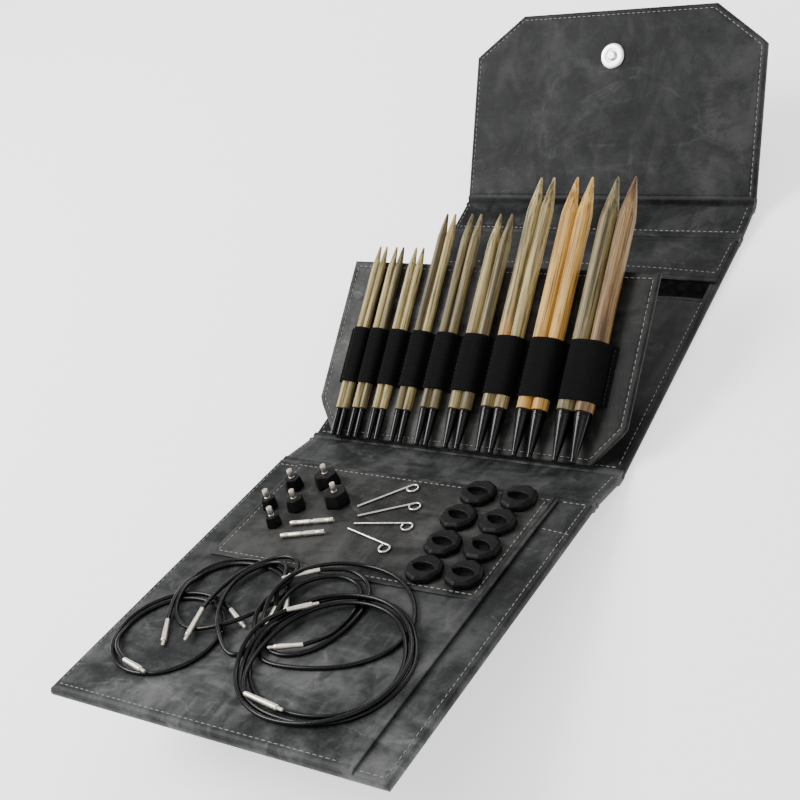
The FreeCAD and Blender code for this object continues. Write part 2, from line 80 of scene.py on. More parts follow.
W = 158.0
REL = math.radians(20.3 - 12.3)
SEAM = Vector((0, 156.3 + 22.9 * math.cos(REL), -22.9 * math.sin(REL)))
F_BACK = Matrix.Translation((-79, -74.8, 0))
F_SPA = rx(-20.3, (0, -74.8, 4)) @ Matrix.Translation((-79, 0, 0))
F_FRONT = rx(-12.3, (0, -74.8, 4)) @ Matrix.Translation((-79, -SEAM.y, -SEAM.z))
F_SPB = rx(5.7, (0, 74.8, 4)) @ Matrix.Translation((-79, 0, 0))
TOP_Y, TOP_Z = 74.8 + 21.8 * math.cos(math.radians(5.7)), 4 + 21.8 * math.sin(math.radians(5.7))
F_TOP = rx(45.7, (0, TOP_Y, TOP_Z)) @ Matrix.Translation((-79, 0, 0))
F_FLAP = rx(27.7, (0, -74.8, 4.3)) @ Matrix.Translation((-79, 0, 0))


def world(M, pts):
    p = np.asarray(pts, float).reshape(-1, 3)
    R = np.array(M.to_3x3(), float)
    return (p @ R.T + np.array(M.translation, float)) * MM


def metres(M):
    out = M.copy()
    out.translation = M.translation * MM
    return out


# --------------------------------------------------------------- materials
def new_mat(name):
    m = bpy.data.materials.new(name)
    m.use_nodes = True
    nt = m.node_tree
    b = nt.nodes["Principled BSDF"]
    return m, nt, b


def N(nt, kind, **props):
    n = nt.nodes.new(kind)
    for k, v in props.items():
        setattr(n, k, v)
    return n


def tex_noise(nt, vec, scale, detail=4.0, rough=0.55, distortion=0.0, kind="FBM"):
    n = N(nt, "ShaderNodeTexNoise", noise_type=kind)
    n.inputs["Scale"].default_value = scale
    n.inputs["Detail"].default_value = detail
    n.inputs["Roughness"].default_value = rough
    n.inputs["Distortion"].default_value = distortion
    nt.links.new(vec, n.inputs["Vector"])
    return n.outputs[0]


def mapping(nt, vec, scale=(1, 1, 1), rot=(0, 0, 0), loc=(0, 0, 0)):
    n = N(nt, "ShaderNodeMapping")
    n.inputs["Scale"].default_value = scale
    n.inputs["Rotation"].default_value = rot
    n.inputs["Location"].default_value = loc
    nt.links.new(vec, n.inputs["Vector"])
    return n.outputs[0]


def ramp(nt, fac, stops):
    n = N(nt, "ShaderNodeValToRGB")
    e = n.color_ramp.elements
    while len(e) < len(stops):
        e.new(0.5)
    for k, (pos, col) in enumerate(stops):
        e[k].position = pos
        c = col if isinstance(col, (tuple, list)) else (col, col, col)
        e[k].color = (*c, 1)
    nt.links.new(fac, n.inputs["Fac"])
    return n.outputs["Color"]


def mix(nt, fac, a, b, mode="MIX"):
    n = N(nt, "ShaderNodeMix", data_type="RGBA", blend_type=mode)
    for sock, v in ((n.inputs[0], fac), (n.inputs[6], a), (n.inputs[7], b)):
        if isinstance(v, (int, float)):
            sock.default_value = v
        elif isinstance(v, (tuple, list)):
            sock.default_value = (*v, 1)
        else:
            nt.links.new(v, sock)
    return n.outputs[2]


def math_node(nt, op, a, b=None):
    n = N(nt, "ShaderNodeMath", operation=op)
    for sock, v in zip(n.inputs, (a, b)):
        if v is None:
            continue
        if isinstance(v, (int, float)):
            sock.default_value = v
        else:
            nt.links.new(v, sock)
    return n.outputs[0]


def bump(nt, height, strength, distance, normal=None):
    n = N(nt, "ShaderNodeBump")
    n.inputs["Strength"].default_value = strength
    n.inputs["Distance"].default_value = distance
    nt.links.new(height, n.inputs["Height"])
    if normal is not None:
        nt.links.new(normal, n.inputs["Normal"])
    return n.outputs["Normal"]


def coords(nt):
    return N(nt, "ShaderNodeTexCoord").outputs["Object"]


def leather(name, dark, mid, light, seed, grain=1.0, rough=0.46, gain=1.0, fade=None):
    m, nt, b = new_mat(name)
    dark, mid, light = (tuple(c * gain for c in q) for q in (dark, mid, light))
    v = mapping(nt, coords(nt), loc=(seed, seed * 0.7, -seed))
    cloud = tex_noise(nt, v, 15.0, 5.0, 0.6, 0.5)
    base = ramp(nt, cloud, [(0.36, dark), (0.52, mid), (0.74, light)])
    stroke = tex_noise(nt, mapping(nt, v, (58, 17, 30), (0, 0, 0.5)), 1.0, 6.0, 0.62, 1.1)
    base = mix(nt, ramp(nt, stroke, [(0.47, 0.0), (0.74, 0.62)]), base, light)
    smoke = tex_noise(nt, mapping(nt, v, (16, 46, 30), (0, 0, -0.6)), 1.0, 5.0, 0.6, 1.6)
    base = mix(nt, ramp(nt, smoke, [(0.38, 0.62), (0.54, 0.0)]), base, dark)
    mottle = tex_noise(nt, v, 85.0, 6.0, 0.72, 0.4)
    base = mix(nt, ramp(nt, mottle, [(0.50, 0.0), (0.72, 0.32)]), base, light)
    base = mix(nt, ramp(nt, mottle, [(0.30, 0.7), (0.48, 0.0)]), base, dark)
    fold_n = tex_noise(nt, mapping(nt, v, (11, 19, 14), (0, 0, 0.4)), 1.0, 4.0, 0.55, 0.5)
    away = math_node(nt, "ABSOLUTE", math_node(nt, "SUBTRACT", fold_n, 0.5))
    crack = math_node(nt, "SUBTRACT", 1.0, math_node(nt, "MULTIPLY", away, 95.0))
    crack = math_node(nt, "MULTIPLY", math_node(nt, "MAXIMUM", crack, 0.0), ramp(nt, mottle, [(0.44, 0.0), (0.64, 0.34)]))
    base = mix(nt, crack, base, tuple(min(1.0, c * 1.5) for c in light))
    speck = tex_noise(nt, v, 330.0, 3.0, 0.7)
    base = mix(nt, ramp(nt, speck, [(0.54, 0.0), (0.8, 0.2)]), base, light)
    base = mix(nt, ramp(nt, speck, [(0.28, 0.3), (0.44, 0.0)]), base, dark)
    if fade:                                  # painted light: the tone is scaled smoothly along one axis of the object, lighter where light and sheen fall
        axis, a, ga, c, gc = fade
        sep = N(nt, "ShaderNodeSeparateXYZ")
        nt.links.new(coords(nt), sep.inputs[0])
        mr = N(nt, "ShaderNodeMapRange", interpolation_type="SMOOTHSTEP")
        for nm_, val in (("From Min", a), ("From Max", c), ("To Min", ga), ("To Max", gc)):
            mr.inputs[nm_].default_value = val
        nt.links.new(sep.outputs[axis], mr.inputs["Value"])
        sc = N(nt, "ShaderNodeVectorMath", operation="SCALE")
        nt.links.new(base, sc.inputs[0])
        nt.links.new(mr.outputs[0], sc.inputs["Scale"])
        base = sc.outputs[0]
    nt.links.new(base, b.inputs["Base Color"])
    rr = N(nt, "ShaderNodeMapRange")
    rr.inputs["To Min"].default_value = rough - 0.09
    rr.inputs["To Max"].default_value = rough + 0.16
    nt.links.new(cloud, rr.inputs["Value"])
    nt.links.new(rr.outputs[0], b.inputs["Roughness"])
    vor = N(nt, "ShaderNodeTexVoronoi", feature="SMOOTH_F1")
    vor.inputs["Scale"].default_value = 1050.0
    nt.links.new(v, vor.inputs["Vector"])
    fine = tex_noise(nt, v, 2600.0, 2.0, 0.6)
    crease = tex_noise(nt, v, 42.0, 6.0, 0.6, 0.8, "RIDGED_MULTIFRACTAL")
    n1 = bump(nt, crease, 0.28, 0.0007)
    n2 = bump(nt, vor.outputs["Distance"], 0.22 * grain, 0.00022, n1)
    nt.links.new(bump(nt, fine, 0.14 * grain, 0.0001, n2), b.inputs["Normal"])
    b.inputs["Specular IOR Level"].default_value = 0.13
    return m


def simple(name, color, rough, metal=0.0, vary=0.12, scale=400.0, bump_s=0.05, bump_d=0.00008, coat=0.0, spec=0.5, stretch=(1, 1, 1)):
    """A finish whose colour and gloss vary a little, with a fine surface."""
    m, nt, b = new_mat(name)
    v = mapping(nt, coords(nt), stretch)
    n = tex_noise(nt, v, scale, 4.0, 0.6)
    lo = tuple(c * (1 - vary) for c in color)
    hi = tuple(min(1.0, c * (1 + vary) + 0.004) for c in color)
    nt.links.new(ramp(nt, n, [(0.35, lo), (0.65, hi)]), b.inputs["Base Color"])
    wear = tex_noise(nt, v, scale * 0.13, 5.0, 0.65)
    rr = N(nt, "ShaderNodeMapRange")
    rr.inputs["To Min"].default_value = rough * 0.8
    rr.inputs["To Max"].default_value = min(1.0, rough * 1.3 + 0.03)
    nt.links.new(wear, rr.inputs["Value"])
    nt.links.new(rr.outputs[0], b.inputs["Roughness"])
    nt.links.new(bump(nt, n, bump_s, bump_d), b.inputs["Normal"])
    b.inputs["Metallic"].default_value = metal
    b.inputs["Coat Weight"].default_value = coat
    b.inputs["Specular IOR Level"].default_value = spec
    return m


def wood(name, dark, mid, light, seed, accent=None):
    m, nt, b = new_mat(name)
    v = mapping(nt, coords(nt), loc=(seed * 0.013, seed * 0.031, seed * 0.007))
    wide = tex_noise(nt, mapping(nt, v, (330, 14, 330)), 1.0, 5.0, 0.6, 0.4)
    base = ramp(nt, wide, [(0.32, dark), (0.42, mid), (0.56, light), (0.70, mid)])
    lines = tex_noise(nt, mapping(nt, v, (1500, 26, 1500)), 1.0, 4.0, 0.7, 0.2)
    base = mix(nt, ramp(nt, lines, [(0.40, 0.9), (0.51, 0.0)]), base, dark)
    base = mix(nt, ramp(nt, lines, [(0.55, 0.0), (0.72, 0.5)]), base, light)
    pores = tex_noise(nt, mapping(nt, v, (3800, 160, 3800)), 1.0, 2.0, 0.6)
    base = mix(nt, ramp(nt, pores, [(0.30, 0.6), (0.42, 0.0)]), base, dark)
    if accent is not None:
        blot = tex_noise(nt, mapping(nt, v, (90, 30, 90)), 1.0, 3.0, 0.5, 0.3)
        base = mix(nt, ramp(nt, blot, [(0.60, 0.0), (0.70, 0.75)]), base, accent)
    nt.links.new(base, b.inputs["Base Color"])
    rr = N(nt, "ShaderNodeMapRange")
    rr.inputs["To Min"].default_value = 0.38
    rr.inputs["To Max"].default_value = 0.6
    nt.links.new(wide, rr.inputs["Value"])
    nt.links.new(rr.outputs[0], b.inputs["Roughness"])
    n1 = bump(nt, lines, 0.16, 0.0002)
    nt.links.new(bump(nt, pores, 0.12, 0.0001, n1), b.inputs["Normal"])
    b.inputs["Specular IOR Level"].default_value = 0.4
    return m


def webbing(name):
    """Black woven elastic: fine ribs across the band and faint warp lines."""
    m, nt, b = new_mat(name)
    v = coords(nt)
    w1 = N(nt, "ShaderNodeTexWave", wave_type="BANDS", bands_direction="Y")
    w1.inputs["Scale"].default_value = 420.0
    w1.inputs["Distortion"].default_value = 0.6
    w1.inputs["Detail Scale"].default_value = 3.0
    nt.links.new(v, w1.inputs["Vector"])
    w2 = N(nt, "ShaderNodeTexWave", wave_type="BANDS", bands_direction="X")
    w2.inputs["Scale"].default_value = 620.0
    w2.inputs["Distortion"].default_value = 0.8
    nt.links.new(v, w2.inputs["Vector"])
    both = math_node(nt, "MULTIPLY", w1.outputs["Fac"], w2.outputs["Fac"])
    fuzz = tex_noise(nt, v, 900.0, 4.0, 0.7)
    col = ramp(nt, both, [(0.0, (0.0015, 0.0015, 0.0016)), (1.0, (0.0052, 0.0052, 0.0055))])
    col = mix(nt, ramp(nt, fuzz, [(0.5, 0.0), (0.75, 0.5)]), col, (0.010, 0.010, 0.0105))
    nt.links.new(col, b.inputs["Base Color"])
    rr = N(nt, "ShaderNodeMapRange")
    rr.inputs["To Min"].default_value = 0.78
    rr.inputs["To Max"].default_value = 0.95
    nt.links.new(fuzz, rr.inputs["Value"])
    nt.links.new(rr.outputs[0], b.inputs["Roughness"])
    nt.links.new(bump(nt, both, 0.5, 0.00025), b.inputs["Normal"])
    b.inputs["Specular IOR Level"].default_value = 0.10
    return m


LEA_PANEL = leather("leatherette_panel", (0.0045, 0.0048, 0.0052), (0.019, 0.0198, 0.0202), (0.085, 0.087, 0.085), 0.13)
LEA_PALE = leather("leatherette_pale", (0.0065, 0.0068, 0.0068), (0.024, 0.0243, 0.0236), (0.095, 0.094, 0.088), 1.71, gain=0.8)
HIDE = ((0.0045, 0.0048, 0.0052), (0.019, 0.0198, 0.0202), (0.085, 0.087, 0.085))
# front panel hide with a painted sheen: the colour is scaled up towards the panel's front edge
LEA_FRONT_PAINTED_SHEEN = leather("leatherette_front_painted_sheen", *HIDE, 0.13, gain=1.0, fade=("Y", -0.235, 1.75, -0.160, 0.95))
# the top flap and rear use the same hide, darkened by gain: painted shade on these panels
LEA_TOP = leather("leatherette_top_flap", *HIDE, 0.77, gain=0.6)
LEA_REAR = leather("leatherette_rear", *HIDE, 1.33, gain=0.55)
# needle flap hide with painted light and shade: lighter towards its left side, darker towards its right
LEA_FLAP_PAINTED_LIGHT = leather("leatherette_needle_flap_painted_light", (0.0065, 0.0068, 0.0068), (0.024, 0.0243, 0.0236), (0.095, 0.094, 0.088), 1.71,
                   fade=("X", -0.08, 1.35, 0.075, 0.5))
# near-black finish: painted shade inside the back pocket's slot
POCKET_SHADE_BLACK = simple("pocket_mouth_painted_shade", (0.0012, 0.0012, 0.0013), 0.9, vary=0.3, scale=260, bump_s=0.2, spec=0.03)
THREAD = simple("thread", (0.21, 0.212, 0.205), 0.62, vary=0.25, scale=2200, bump_s=0.35, bump_d=0.0001, stretch=(1, 1, 1))
ELASTIC = webbing("woven_elastic")
FERRULE = simple("ferrule_black", (0.0012, 0.0011, 0.0010), 0.055, vary=0.2, scale=700, bump_s=0.02, coat=0.0, spec=0.24)
PLASTIC = simple("cap_plastic", (0.0022, 0.0022, 0.0023), 0.42, vary=0.3, scale=900, bump_s=0.10, spec=0.16)
RUBBER = simple("grip_rubber_skin", (0.0022, 0.0022, 0.0024), 0.42, vary=0.35, scale=650, bump_s=0.10, bump_d=0.0001, spec=0.13)
SILVER = simple("polished_nickel", (0.80, 0.755, 0.69), 0.22, metal=1.0, vary=0.06, scale=500, bump_s=0.03)
SATIN = simple("satin_nickel", (0.80, 0.745, 0.65), 0.40, metal=1.0, vary=0.07, scale=500, bump_s=0.03)
SNAPM = simple("snap_nickel", (0.93, 0.92, 0.90), 0.36, metal=1.0, vary=0.05, scale=380, bump_s=0.03)
CORD = simple("cord_jacket", (0.0012, 0.0012, 0.0013), 0.24, vary=0.3, scale=600, bump_s=0.04, coat=0.0, spec=0.24)
BOARD = simple("grey_board", (0.30, 0.28, 0.25), 0.85, vary=0.25, scale=500, bump_s=0.3)


# ------------------------------------------------------------------ mesh helpers
def link(me, name, mat, smooth=True, sharp=None):
    if smooth:
        me.polygons.foreach_set("use_smooth", [True] * len(me.polygons))
        if sharp is not None:
            me.set_sharp_from_angle(angle=math.radians(sharp))
    o = bpy.data.objects.new(name, me)
    scene.collection.objects.link(o)
    me.materials.append(mat)
    return o


def build(name, verts, faces, mat, smooth=True, sharp=None):
    me = bpy.data.meshes.new(name)
    me.from_pydata([tuple(v) for v in verts], [], faces)
    me.validate()
    me.update()
    return link(me, name, mat, smooth, sharp)


class Parts:
    """Collects closed shapes into one mesh."""

    def __init__(self):
        self.v, self.f = [], []

    def add(self, verts, faces):
        k = len(self.v)
        self.v += [tuple(p) for p in verts]
        self.f += [tuple(i + k for i in f) for f in faces]

    def done(self, name, mat, smooth=True, sharp=None):
        return build(name, self.v, self.f, mat, smooth, sharp)


def lathe(profile, n=28, M=Matrix.Identity(4), close=True):
    """A turned shape about local +Z.  profile: (radius, height), both ends on the axis."""
    v, f, rings = [], [], []
    for r, z in profile:
        if r < 1e-6:
            rings.append([len(v)])
            v.append((0, 0, z))
        else:
            rings.append(list(range(len(v), len(v) + n)))
            v += [(r * math.cos(2 * math.pi * k / n), r * math.sin(2 * math.pi * k / n), z) for k in range(n)]
    for a, b in zip(rings, rings[1:]):
        for k in range(n):
            k2 = (k + 1) % n
            if len(a) == 1 and len(b) == 1:
                continue
            if len(a) == 1:
                f.append((a[0], b[k2], b[k]))
            elif len(b) == 1:
                f.append((a[k], a[k2], b[0]))
            else:
                f.append((a[k], a[k2], b[k2], b[k]))
    pts = [M @ Vector(p) for p in v]
    return pts, f


def smooth01(t):
    t = np.clip(t, 0, 1)
    return t * t * (3 - 2 * t)


def wob(x, y, s, seed):
    return noise.noise(Vector((x * s, y * s, seed)))


EDGE = [0, 0.1, 0.3, 0.62, 1.0, 1.5, 2.0, 2.3, 2.5, 2.7, 3.0, 3.5, 3.9, 4.3, 5.4]


def lines(length, step, edge=EDGE):
    n = max(2, int(round((length - 2 * edge[-1]) / step)))
    return np.array(list(edge) + list(np.linspace(edge[-1], length - edge[-1], n + 1))[1:-1] + [length - e for e in edge[::-1]])


def slab(name, M, poly, z0, z1, mat, step=3.0, rnd=1.4, groove=2.5, gdepth=0.16, ledge=None, wave=0.15, seed=0.0,
         lift=None, warp=None, edge=EDGE, gsides=None):
    """A padded panel with rounded edges.  poly: corners, anticlockwise, with its first edge along y = 0 and
    its widest rows straight, so that each row runs from one side to the other."""
    P = np.array(poly, float)
    ys = lines(P[:, 1].max() - P[:, 1].min(), step, edge) + P[:, 1].min()

    def span(y):
        xs = []
        for a, b in zip(P, np.roll(P, -1, 0)):
            if abs(a[1] - b[1]) < 1e-9:
                if abs(a[1] - y) < 1e-6:
                    xs += [a[0], b[0]]
            elif min(a[1], b[1]) - 1e-9 <= y <= max(a[1], b[1]) + 1e-9:
                xs.append(a[0] + (b[0] - a[0]) * (y - a[1]) / (b[1] - a[1]))
        return min(xs), max(xs)

    wmax = P[:, 0].max() - P[:, 0].min()
    ux = lines(wmax, step, edge)
    nx, ny = len(ux), len(ys)
    top = np.zeros((ny, nx, 3))
    bot = np.zeros((ny, nx, 3))
    ne = len(edge)
    mid_z, half = (z0 + z1) / 2, (z1 - z0) / 2
    for j, y in enumerate(ys):
        a, c = span(y)
        w = c - a
        row = np.empty(nx)
        row[:ne] = a + ux[:ne]
        row[-ne:] = c - (wmax - ux[-ne:])
        row[ne:-ne] = a + edge[-1] + (ux[ne:-ne] - edge[-1]) * (w - 2 * edge[-1]) / (wmax - 2 * edge[-1])
        d = np.full(nx, 1e9)
        for p, q in zip(P, np.roll(P, -1, 0)):
            e = q - p
            nrm = np.array([-e[1], e[0]]) / np.hypot(*e)
            d = np.minimum(d, (row - p[0]) * nrm[0] + (y - p[1]) * nrm[1])
        d = np.maximum(d, 0)
        if j in (0, ny - 1):
            d[:] = 0
        d[0] = d[-1] = 0
        u = 1 - np.minimum(d / rnd, 1)
        prof = half * np.sqrt(np.maximum(0, 1 - u * u))
        dip = gdepth * np.exp(-((d - groove) / 0.42) ** 2) if groove else 0
        step_d = ledge * smooth01((d - 3.7) / 0.5) if ledge else 0
        fade = smooth01((d - 3) / 6)
        wv = np.array([wob(x, y, 0.035, seed) + 0.4 * wob(x, y, 0.11, seed + 5) for x in row]) * wave * fade
        zt = mid_z + prof - dip - step_d + wv
        zb = mid_z - prof + wv * 0.3
        xy = np.stack([row, np.full(nx, y)], 1)
        if lift is not None:
            dz = np.array([lift(x, y) for x in row])
            zt, zb = zt + dz, zb + dz
        if warp is not None:
            xy = np.array([warp(x, yy) for x, yy in xy])
        top[j, :, :2] = xy
        top[j, :, 2] = zt
        bot[j, :, :2] = xy
        bot[j, :, 2] = zb
    v = list(top.reshape(-1, 3))
    tid = np.arange(nx * ny).reshape(ny, nx)
    bid = tid.copy()
    k = len(v)
    for j in range(1, ny - 1):
        for i in range(1, nx - 1):
            v.append(bot[j, i])
            bid[j, i] = k
            k += 1
    f = []
    for j in range(ny - 1):
        for i in range(nx - 1):
            f.append((tid[j, i], tid[j, i + 1], tid[j + 1, i + 1], tid[j + 1, i]))
            q = (bid[j, i], bid[j + 1, i], bid[j + 1, i + 1], bid[j, i + 1])
            f.append(q)
    o = build(name, world(M, v), [tuple(int(i) for i in q) for q in f], mat)
    return o


class Stitches:
    """Runs of thread stitches that lie in the seams of one body."""

    def __init__(self):
        self.parts = Parts()

    def run(self, M, pts, z, pitch=2.75, long=1.9, wide=0.21, high=0.2):
        pts = [np.array(p, float) for p in pts]
        for a, b in zip(pts, pts[1:]):
            L = np.hypot(*(b - a))
            n = max(1, int(round(L / pitch)))
            d = (b - a) / L
            s = np.array([-d[1], d[0]])
            for k in range(n):
                c = a + d * L * (k + 0.5) / n
                jit = wob(c[0] * 3.1, c[1] * 2.7, 1.0, 9.0)
                dd = d + s * 0.05 * jit
                ring = []
                zz = z(c[0], c[1]) if callable(z) else z
                for t, r, h in ((-1, 0.28, -0.16), (-0.82, 0.8, -0.02), (0, 1, 0.04), (0.82, 0.8, -0.02), (1, 0.28, -0.16)):
                    for q in range(6):
                        an = math.pi * 2 * q / 6
                        off = dd * t * long / 2 + s * math.cos(an) * wide * r
                        ring.append((c[0] + off[0], c[1] + off[1], zz + h + math.sin(an) * high * r))
                f = [tuple(range(5, -1, -1)), tuple(range(24, 30))]
                for i in range(4):
                    for q in range(6):
                        f.append((i * 6 + q, i * 6 + (q + 1) % 6, i * 6 + 6 + (q + 1) % 6, i * 6 + 6 + q))
                self.parts.add(world(M, ring), f)

    def done(self, name, body):
        o = self.parts.done(name, THREAD)
        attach(o, body)
        return o


# ------------------------------------------------------------------------ cords
# Control points of each cord on the front panel: millimetres across, along and above its face.
ROUTES = {
    1: [(24.5, 19.5, 3.8), (18.5, 22.3, 3.7), (12.5, 27.5, 2.9), (9.3, 35, 1.9), (9.4, 43.5, 1.85), (13.2, 51.8, 1.85),
        (20, 57.5, 1.85), (29, 60.2, 1.85), (38.5, 58.9, 1.85), (46.8, 54, 1.85), (52.4, 46, 1.85), (53.8, 36.8, 1.85),
        (51, 27.5, 1.85), (44.5, 20.3, 1.85), (35.5, 16.4, 1.85), (26, 16.4, 1.85), (17, 20, 1.85), (10.2, 26.8, 1.85),
        (6.9, 35.2, 1.85), (6.9, 44.3, 1.85), (10.4, 53, 1.85), (17.3, 59.8, 1.85), (26.5, 63, 1.85), (35.5, 62.6, 1.85),
        (42.5, 60, 1.9), (47.6, 57.4, 2.2)],
    2: [(24.7, 45, 2.3), (21.8, 50.5, 2.9), (19.6, 56.5, 3.6), (18, 63, 3.6), (17.2, 69.5, 2.4), (18.6, 76.3, 1.9),
        (23, 82, 1.9), (30, 85.8, 1.9), (38.5, 87.3, 2.1), (47, 86.8, 1.95), (54.5, 84.2, 1.9), (60.5, 79.5, 1.9),
        (63.4, 72.5, 1.9), (63.2, 64.5, 2.4), (60.4, 56.5, 4.1), (54.5, 49.2, 4.1), (46.5, 44.6, 3.4), (37.5, 43.2, 1.9),
        (29.3, 45.7, 1.85), (23.6, 51.2, 2.6), (20.8, 58, 3.6), (19.4, 64.5, 3.6), (19.4, 70.5, 2.2), (21.5, 76.6, 1.9),
        (26, 81.2, 1.9), (32.5, 83.7, 1.9), (40, 84.7, 1.9), (48, 84, 1.9), (54.8, 81.3, 2.5), (60, 77.8, 3.5),
        (63.6, 74.2, 3.3), (66.3, 70.3, 2.4)],
    3: [(37, 53, 4.0), (35.9, 58.5, 3.9), (35.9, 66, 3.6), (37.2, 74, 3.5), (40.6, 81.3, 3.6), (46.3, 87, 4.2),
        (53.5, 89.8, 4.9), (60, 88, 5.1), (64, 82, 5.1), (65, 74, 5.9), (62.8, 66.5, 6.0), (61.6, 59, 5.1), (63.2, 52.8, 3.4),
        (66.6, 48.0, 2.5), (69.0, 43.6, 2.5), (69.4, 38.8, 2.0), (65.8, 35.4, 1.9), (60.2, 37.0, 2.4), (54.8, 41.8, 4.3), (51.2, 45.6, 5.4), (46, 51.8, 4.4),
        (41.3, 60, 3.6), (38.8, 68.5, 3.55), (40.2, 77, 3.55), (44.6, 83.5, 3.6), (50.8, 86.3, 4.2), (56.8, 84.6, 4.8),
        (60.3, 79, 5.3), (61.4, 73, 4.9), (63, 68, 4.4), (65.6, 63.5, 2.4)],
    4: [(73.5, 84.6, 5.6), (80.5, 88.6, 4.8), (89, 89, 3.4), (96.5, 84.6, 2.2), (100.7, 76.6, 1.9), (101.6, 67.3, 1.9),
        (100.6, 58, 1.9), (97.2, 49.5, 1.9), (91, 43, 1.9), (83, 40.6, 1.9), (75.5, 43, 2.3), (70.3, 48.6, 4.4),
        (66, 56.5, 5.0), (63.6, 66, 7.5), (65.0, 77.5, 7.5), (70.5, 86, 6.2), (78.5, 91.8, 4.6), (88.5, 94.3, 3.1),
        (99, 93.6, 2.9), (109.5, 89.4, 2.9), (118.5, 82, 2.0), (124.8, 72.4, 1.9), (127, 62, 1.9), (123.2, 51.6, 1.9),
        (114.4, 43.6, 1.9), (103.4, 39, 1.9), (92, 36.4, 1.9), (81.5, 35.8, 1.9), (74.6, 38.8, 1.9), (72.2, 46.5, 1.9),
        (69.9, 55, 2.6), (67.8, 63, 3.9), (67.2, 71, 4.1), (69.4, 78.6, 3.7), (74.8, 83.6, 3.4), (82.3, 86.2, 3.0),
        (90, 85.2, 2.0), (95.6, 80, 1.9), (98.2, 72.3, 1.9), (98.5, 64, 1.9), (97.4, 56.8, 2.0), (95.3, 51, 3.4),
        (91.5, 46.6, 3.9)],
    5: [(85.6, 18.2, 4.0), (80.2, 23.8, 3.7), (77, 31.5, 3.9), (75.8, 40.5, 4.0), (76.2, 49.5, 3.9), (78.3, 58, 3.7),
        (83, 65.6, 3.7), (90.5, 71, 3.7), (99.8, 73.6, 3.7), (109.5, 73.2, 3.7), (118.8, 69.6, 3.7), (126.8, 62.5, 3.7),
        (132.8, 53.6, 2.8), (135.8, 43.6, 1.9), (135.2, 33.6, 1.9), (130.6, 25.4, 1.9), (122.8, 19.6, 1.9),
        (113.3, 16.8, 1.9), (103.3, 16.4, 1.9), (93.5, 18.2, 1.9), (84.6, 22.6, 1.9), (77.8, 29.6, 1.9), (73.6, 38.4, 3.9),
        (73.2, 48, 5.5), (74.6, 57, 3.9), (78.6, 65.6, 3.7), (85, 72, 3.7), (94.2, 75.8, 3.7), (104.8, 77, 3.7),
        (115.5, 75, 3.7), (125.2, 69.4, 3.7), (132.8, 61, 3.2), (138, 50.8, 1.9), (139.2, 40, 1.9), (137, 29.8, 1.9),
        (131.4, 21.6, 1.9), (123, 15.9, 1.9), (113, 13.4, 1.9), (102.5, 13.2, 1.9), (92, 15, 1.9), (82.6, 19.6, 1.9),
        (76.0, 26.2, 1.9), (72.2, 34.6, 2.8), (71.2, 43.5, 5.1), (72.6, 53, 5.5), (76.4, 62.4, 5.5), (82.4, 69.9, 5.4),
        (91, 74.2, 5.3), (100.4, 75.9, 5.2), (110, 75.4, 5.2), (120, 71.3, 5.2), (128.8, 64.1, 5.1), (134.8, 55, 4.2),
        (137.5, 45, 3.5), (137.3, 34.6, 3.4), (133.6, 25.2, 3.4), (126.4, 17.6, 3.4), (116.8, 12.9, 2.9), (106, 11.2, 2.2),
        (95.5, 11.9, 1.9), (85.8, 15.6, 1.9), (78, 21.4, 1.9), (72.2, 28.8, 2.2), (69.2, 37.2, 4.4), (68.6, 45.4, 5.9),
        (70.8, 53.0, 6.7), (76.4, 58.8, 7.2)],
}
# Each cord's two metal ends: cord side, threaded end, on the same face.
SLEEVES = {
    1: [((24.5, 19.5, 3.8), (38.0, 16.3, 3.9)), ((47.6, 57.4, 2.2), (60.5, 50.0, 2.25))],
    2: [((24.7, 45.0, 2.3), (33.0, 32.0, 2.2)), ((66.3, 70.3, 2.4), (72.4, 60.6, 2.2))],
    3: [((37.0, 53.0, 4.0), (41.6, 36.0, 3.4)), ((65.6, 63.5, 2.3), (69.2, 49.8, 2.25))],
    4: [((73.5, 84.6, 5.6), (60.6, 76.2, 5.7)), ((91.5, 46.6, 3.9), (78.6, 41.3, 3.9))],
    5: [((85.6, 18.2, 4.0), (105.0, 15.2, 4.0)), ((76.4, 58.8, 7.2), (85.6, 66.8, 5.9))],
}
COLLAR = 1.15


def sleeve(a, b):
    """A swaged metal end: tapered neck, barrel with a ring, threaded stud."""
    A, B = F_FRONT @ Vector(a), F_FRONT @ Vector(b)
    L = (B - A).length
    rot = (B - A).to_track_quat("Z", "Y").to_matrix().to_4x4()
    M = Matrix.Scale(MM, 4) @ Matrix.Translation(A) @ rot
    cone = 0.52 * L if L > 13 else 0.45 * L
    stud = 2.6
    prof = [(0, -0.3), (0.80, -0.3), (0.92, 0.0), (0.95, 0.5), (1.0, cone * 0.5), (COLLAR - 0.02, cone), (COLLAR, cone + 0.3),
            (COLLAR, L - stud - 1.6), (COLLAR - 0.12, L - stud - 1.5), (COLLAR - 0.12, L - stud - 1.25), (COLLAR, L - stud - 1.15),
            (COLLAR, L - stud - 0.25), (COLLAR - 0.2, L - stud), (0.62, L - stud)]
    z = L - stud + 0.12
    while z < L - 0.35:
        prof += [(0.62, z), (0.76, z + 0.11), (0.76, z + 0.17), (0.62, z + 0.28)]
        z += 0.36
    prof += [(0.62, L - 0.2), (0.45, L), (0, L)]
    return lathe(prof, 24, M)


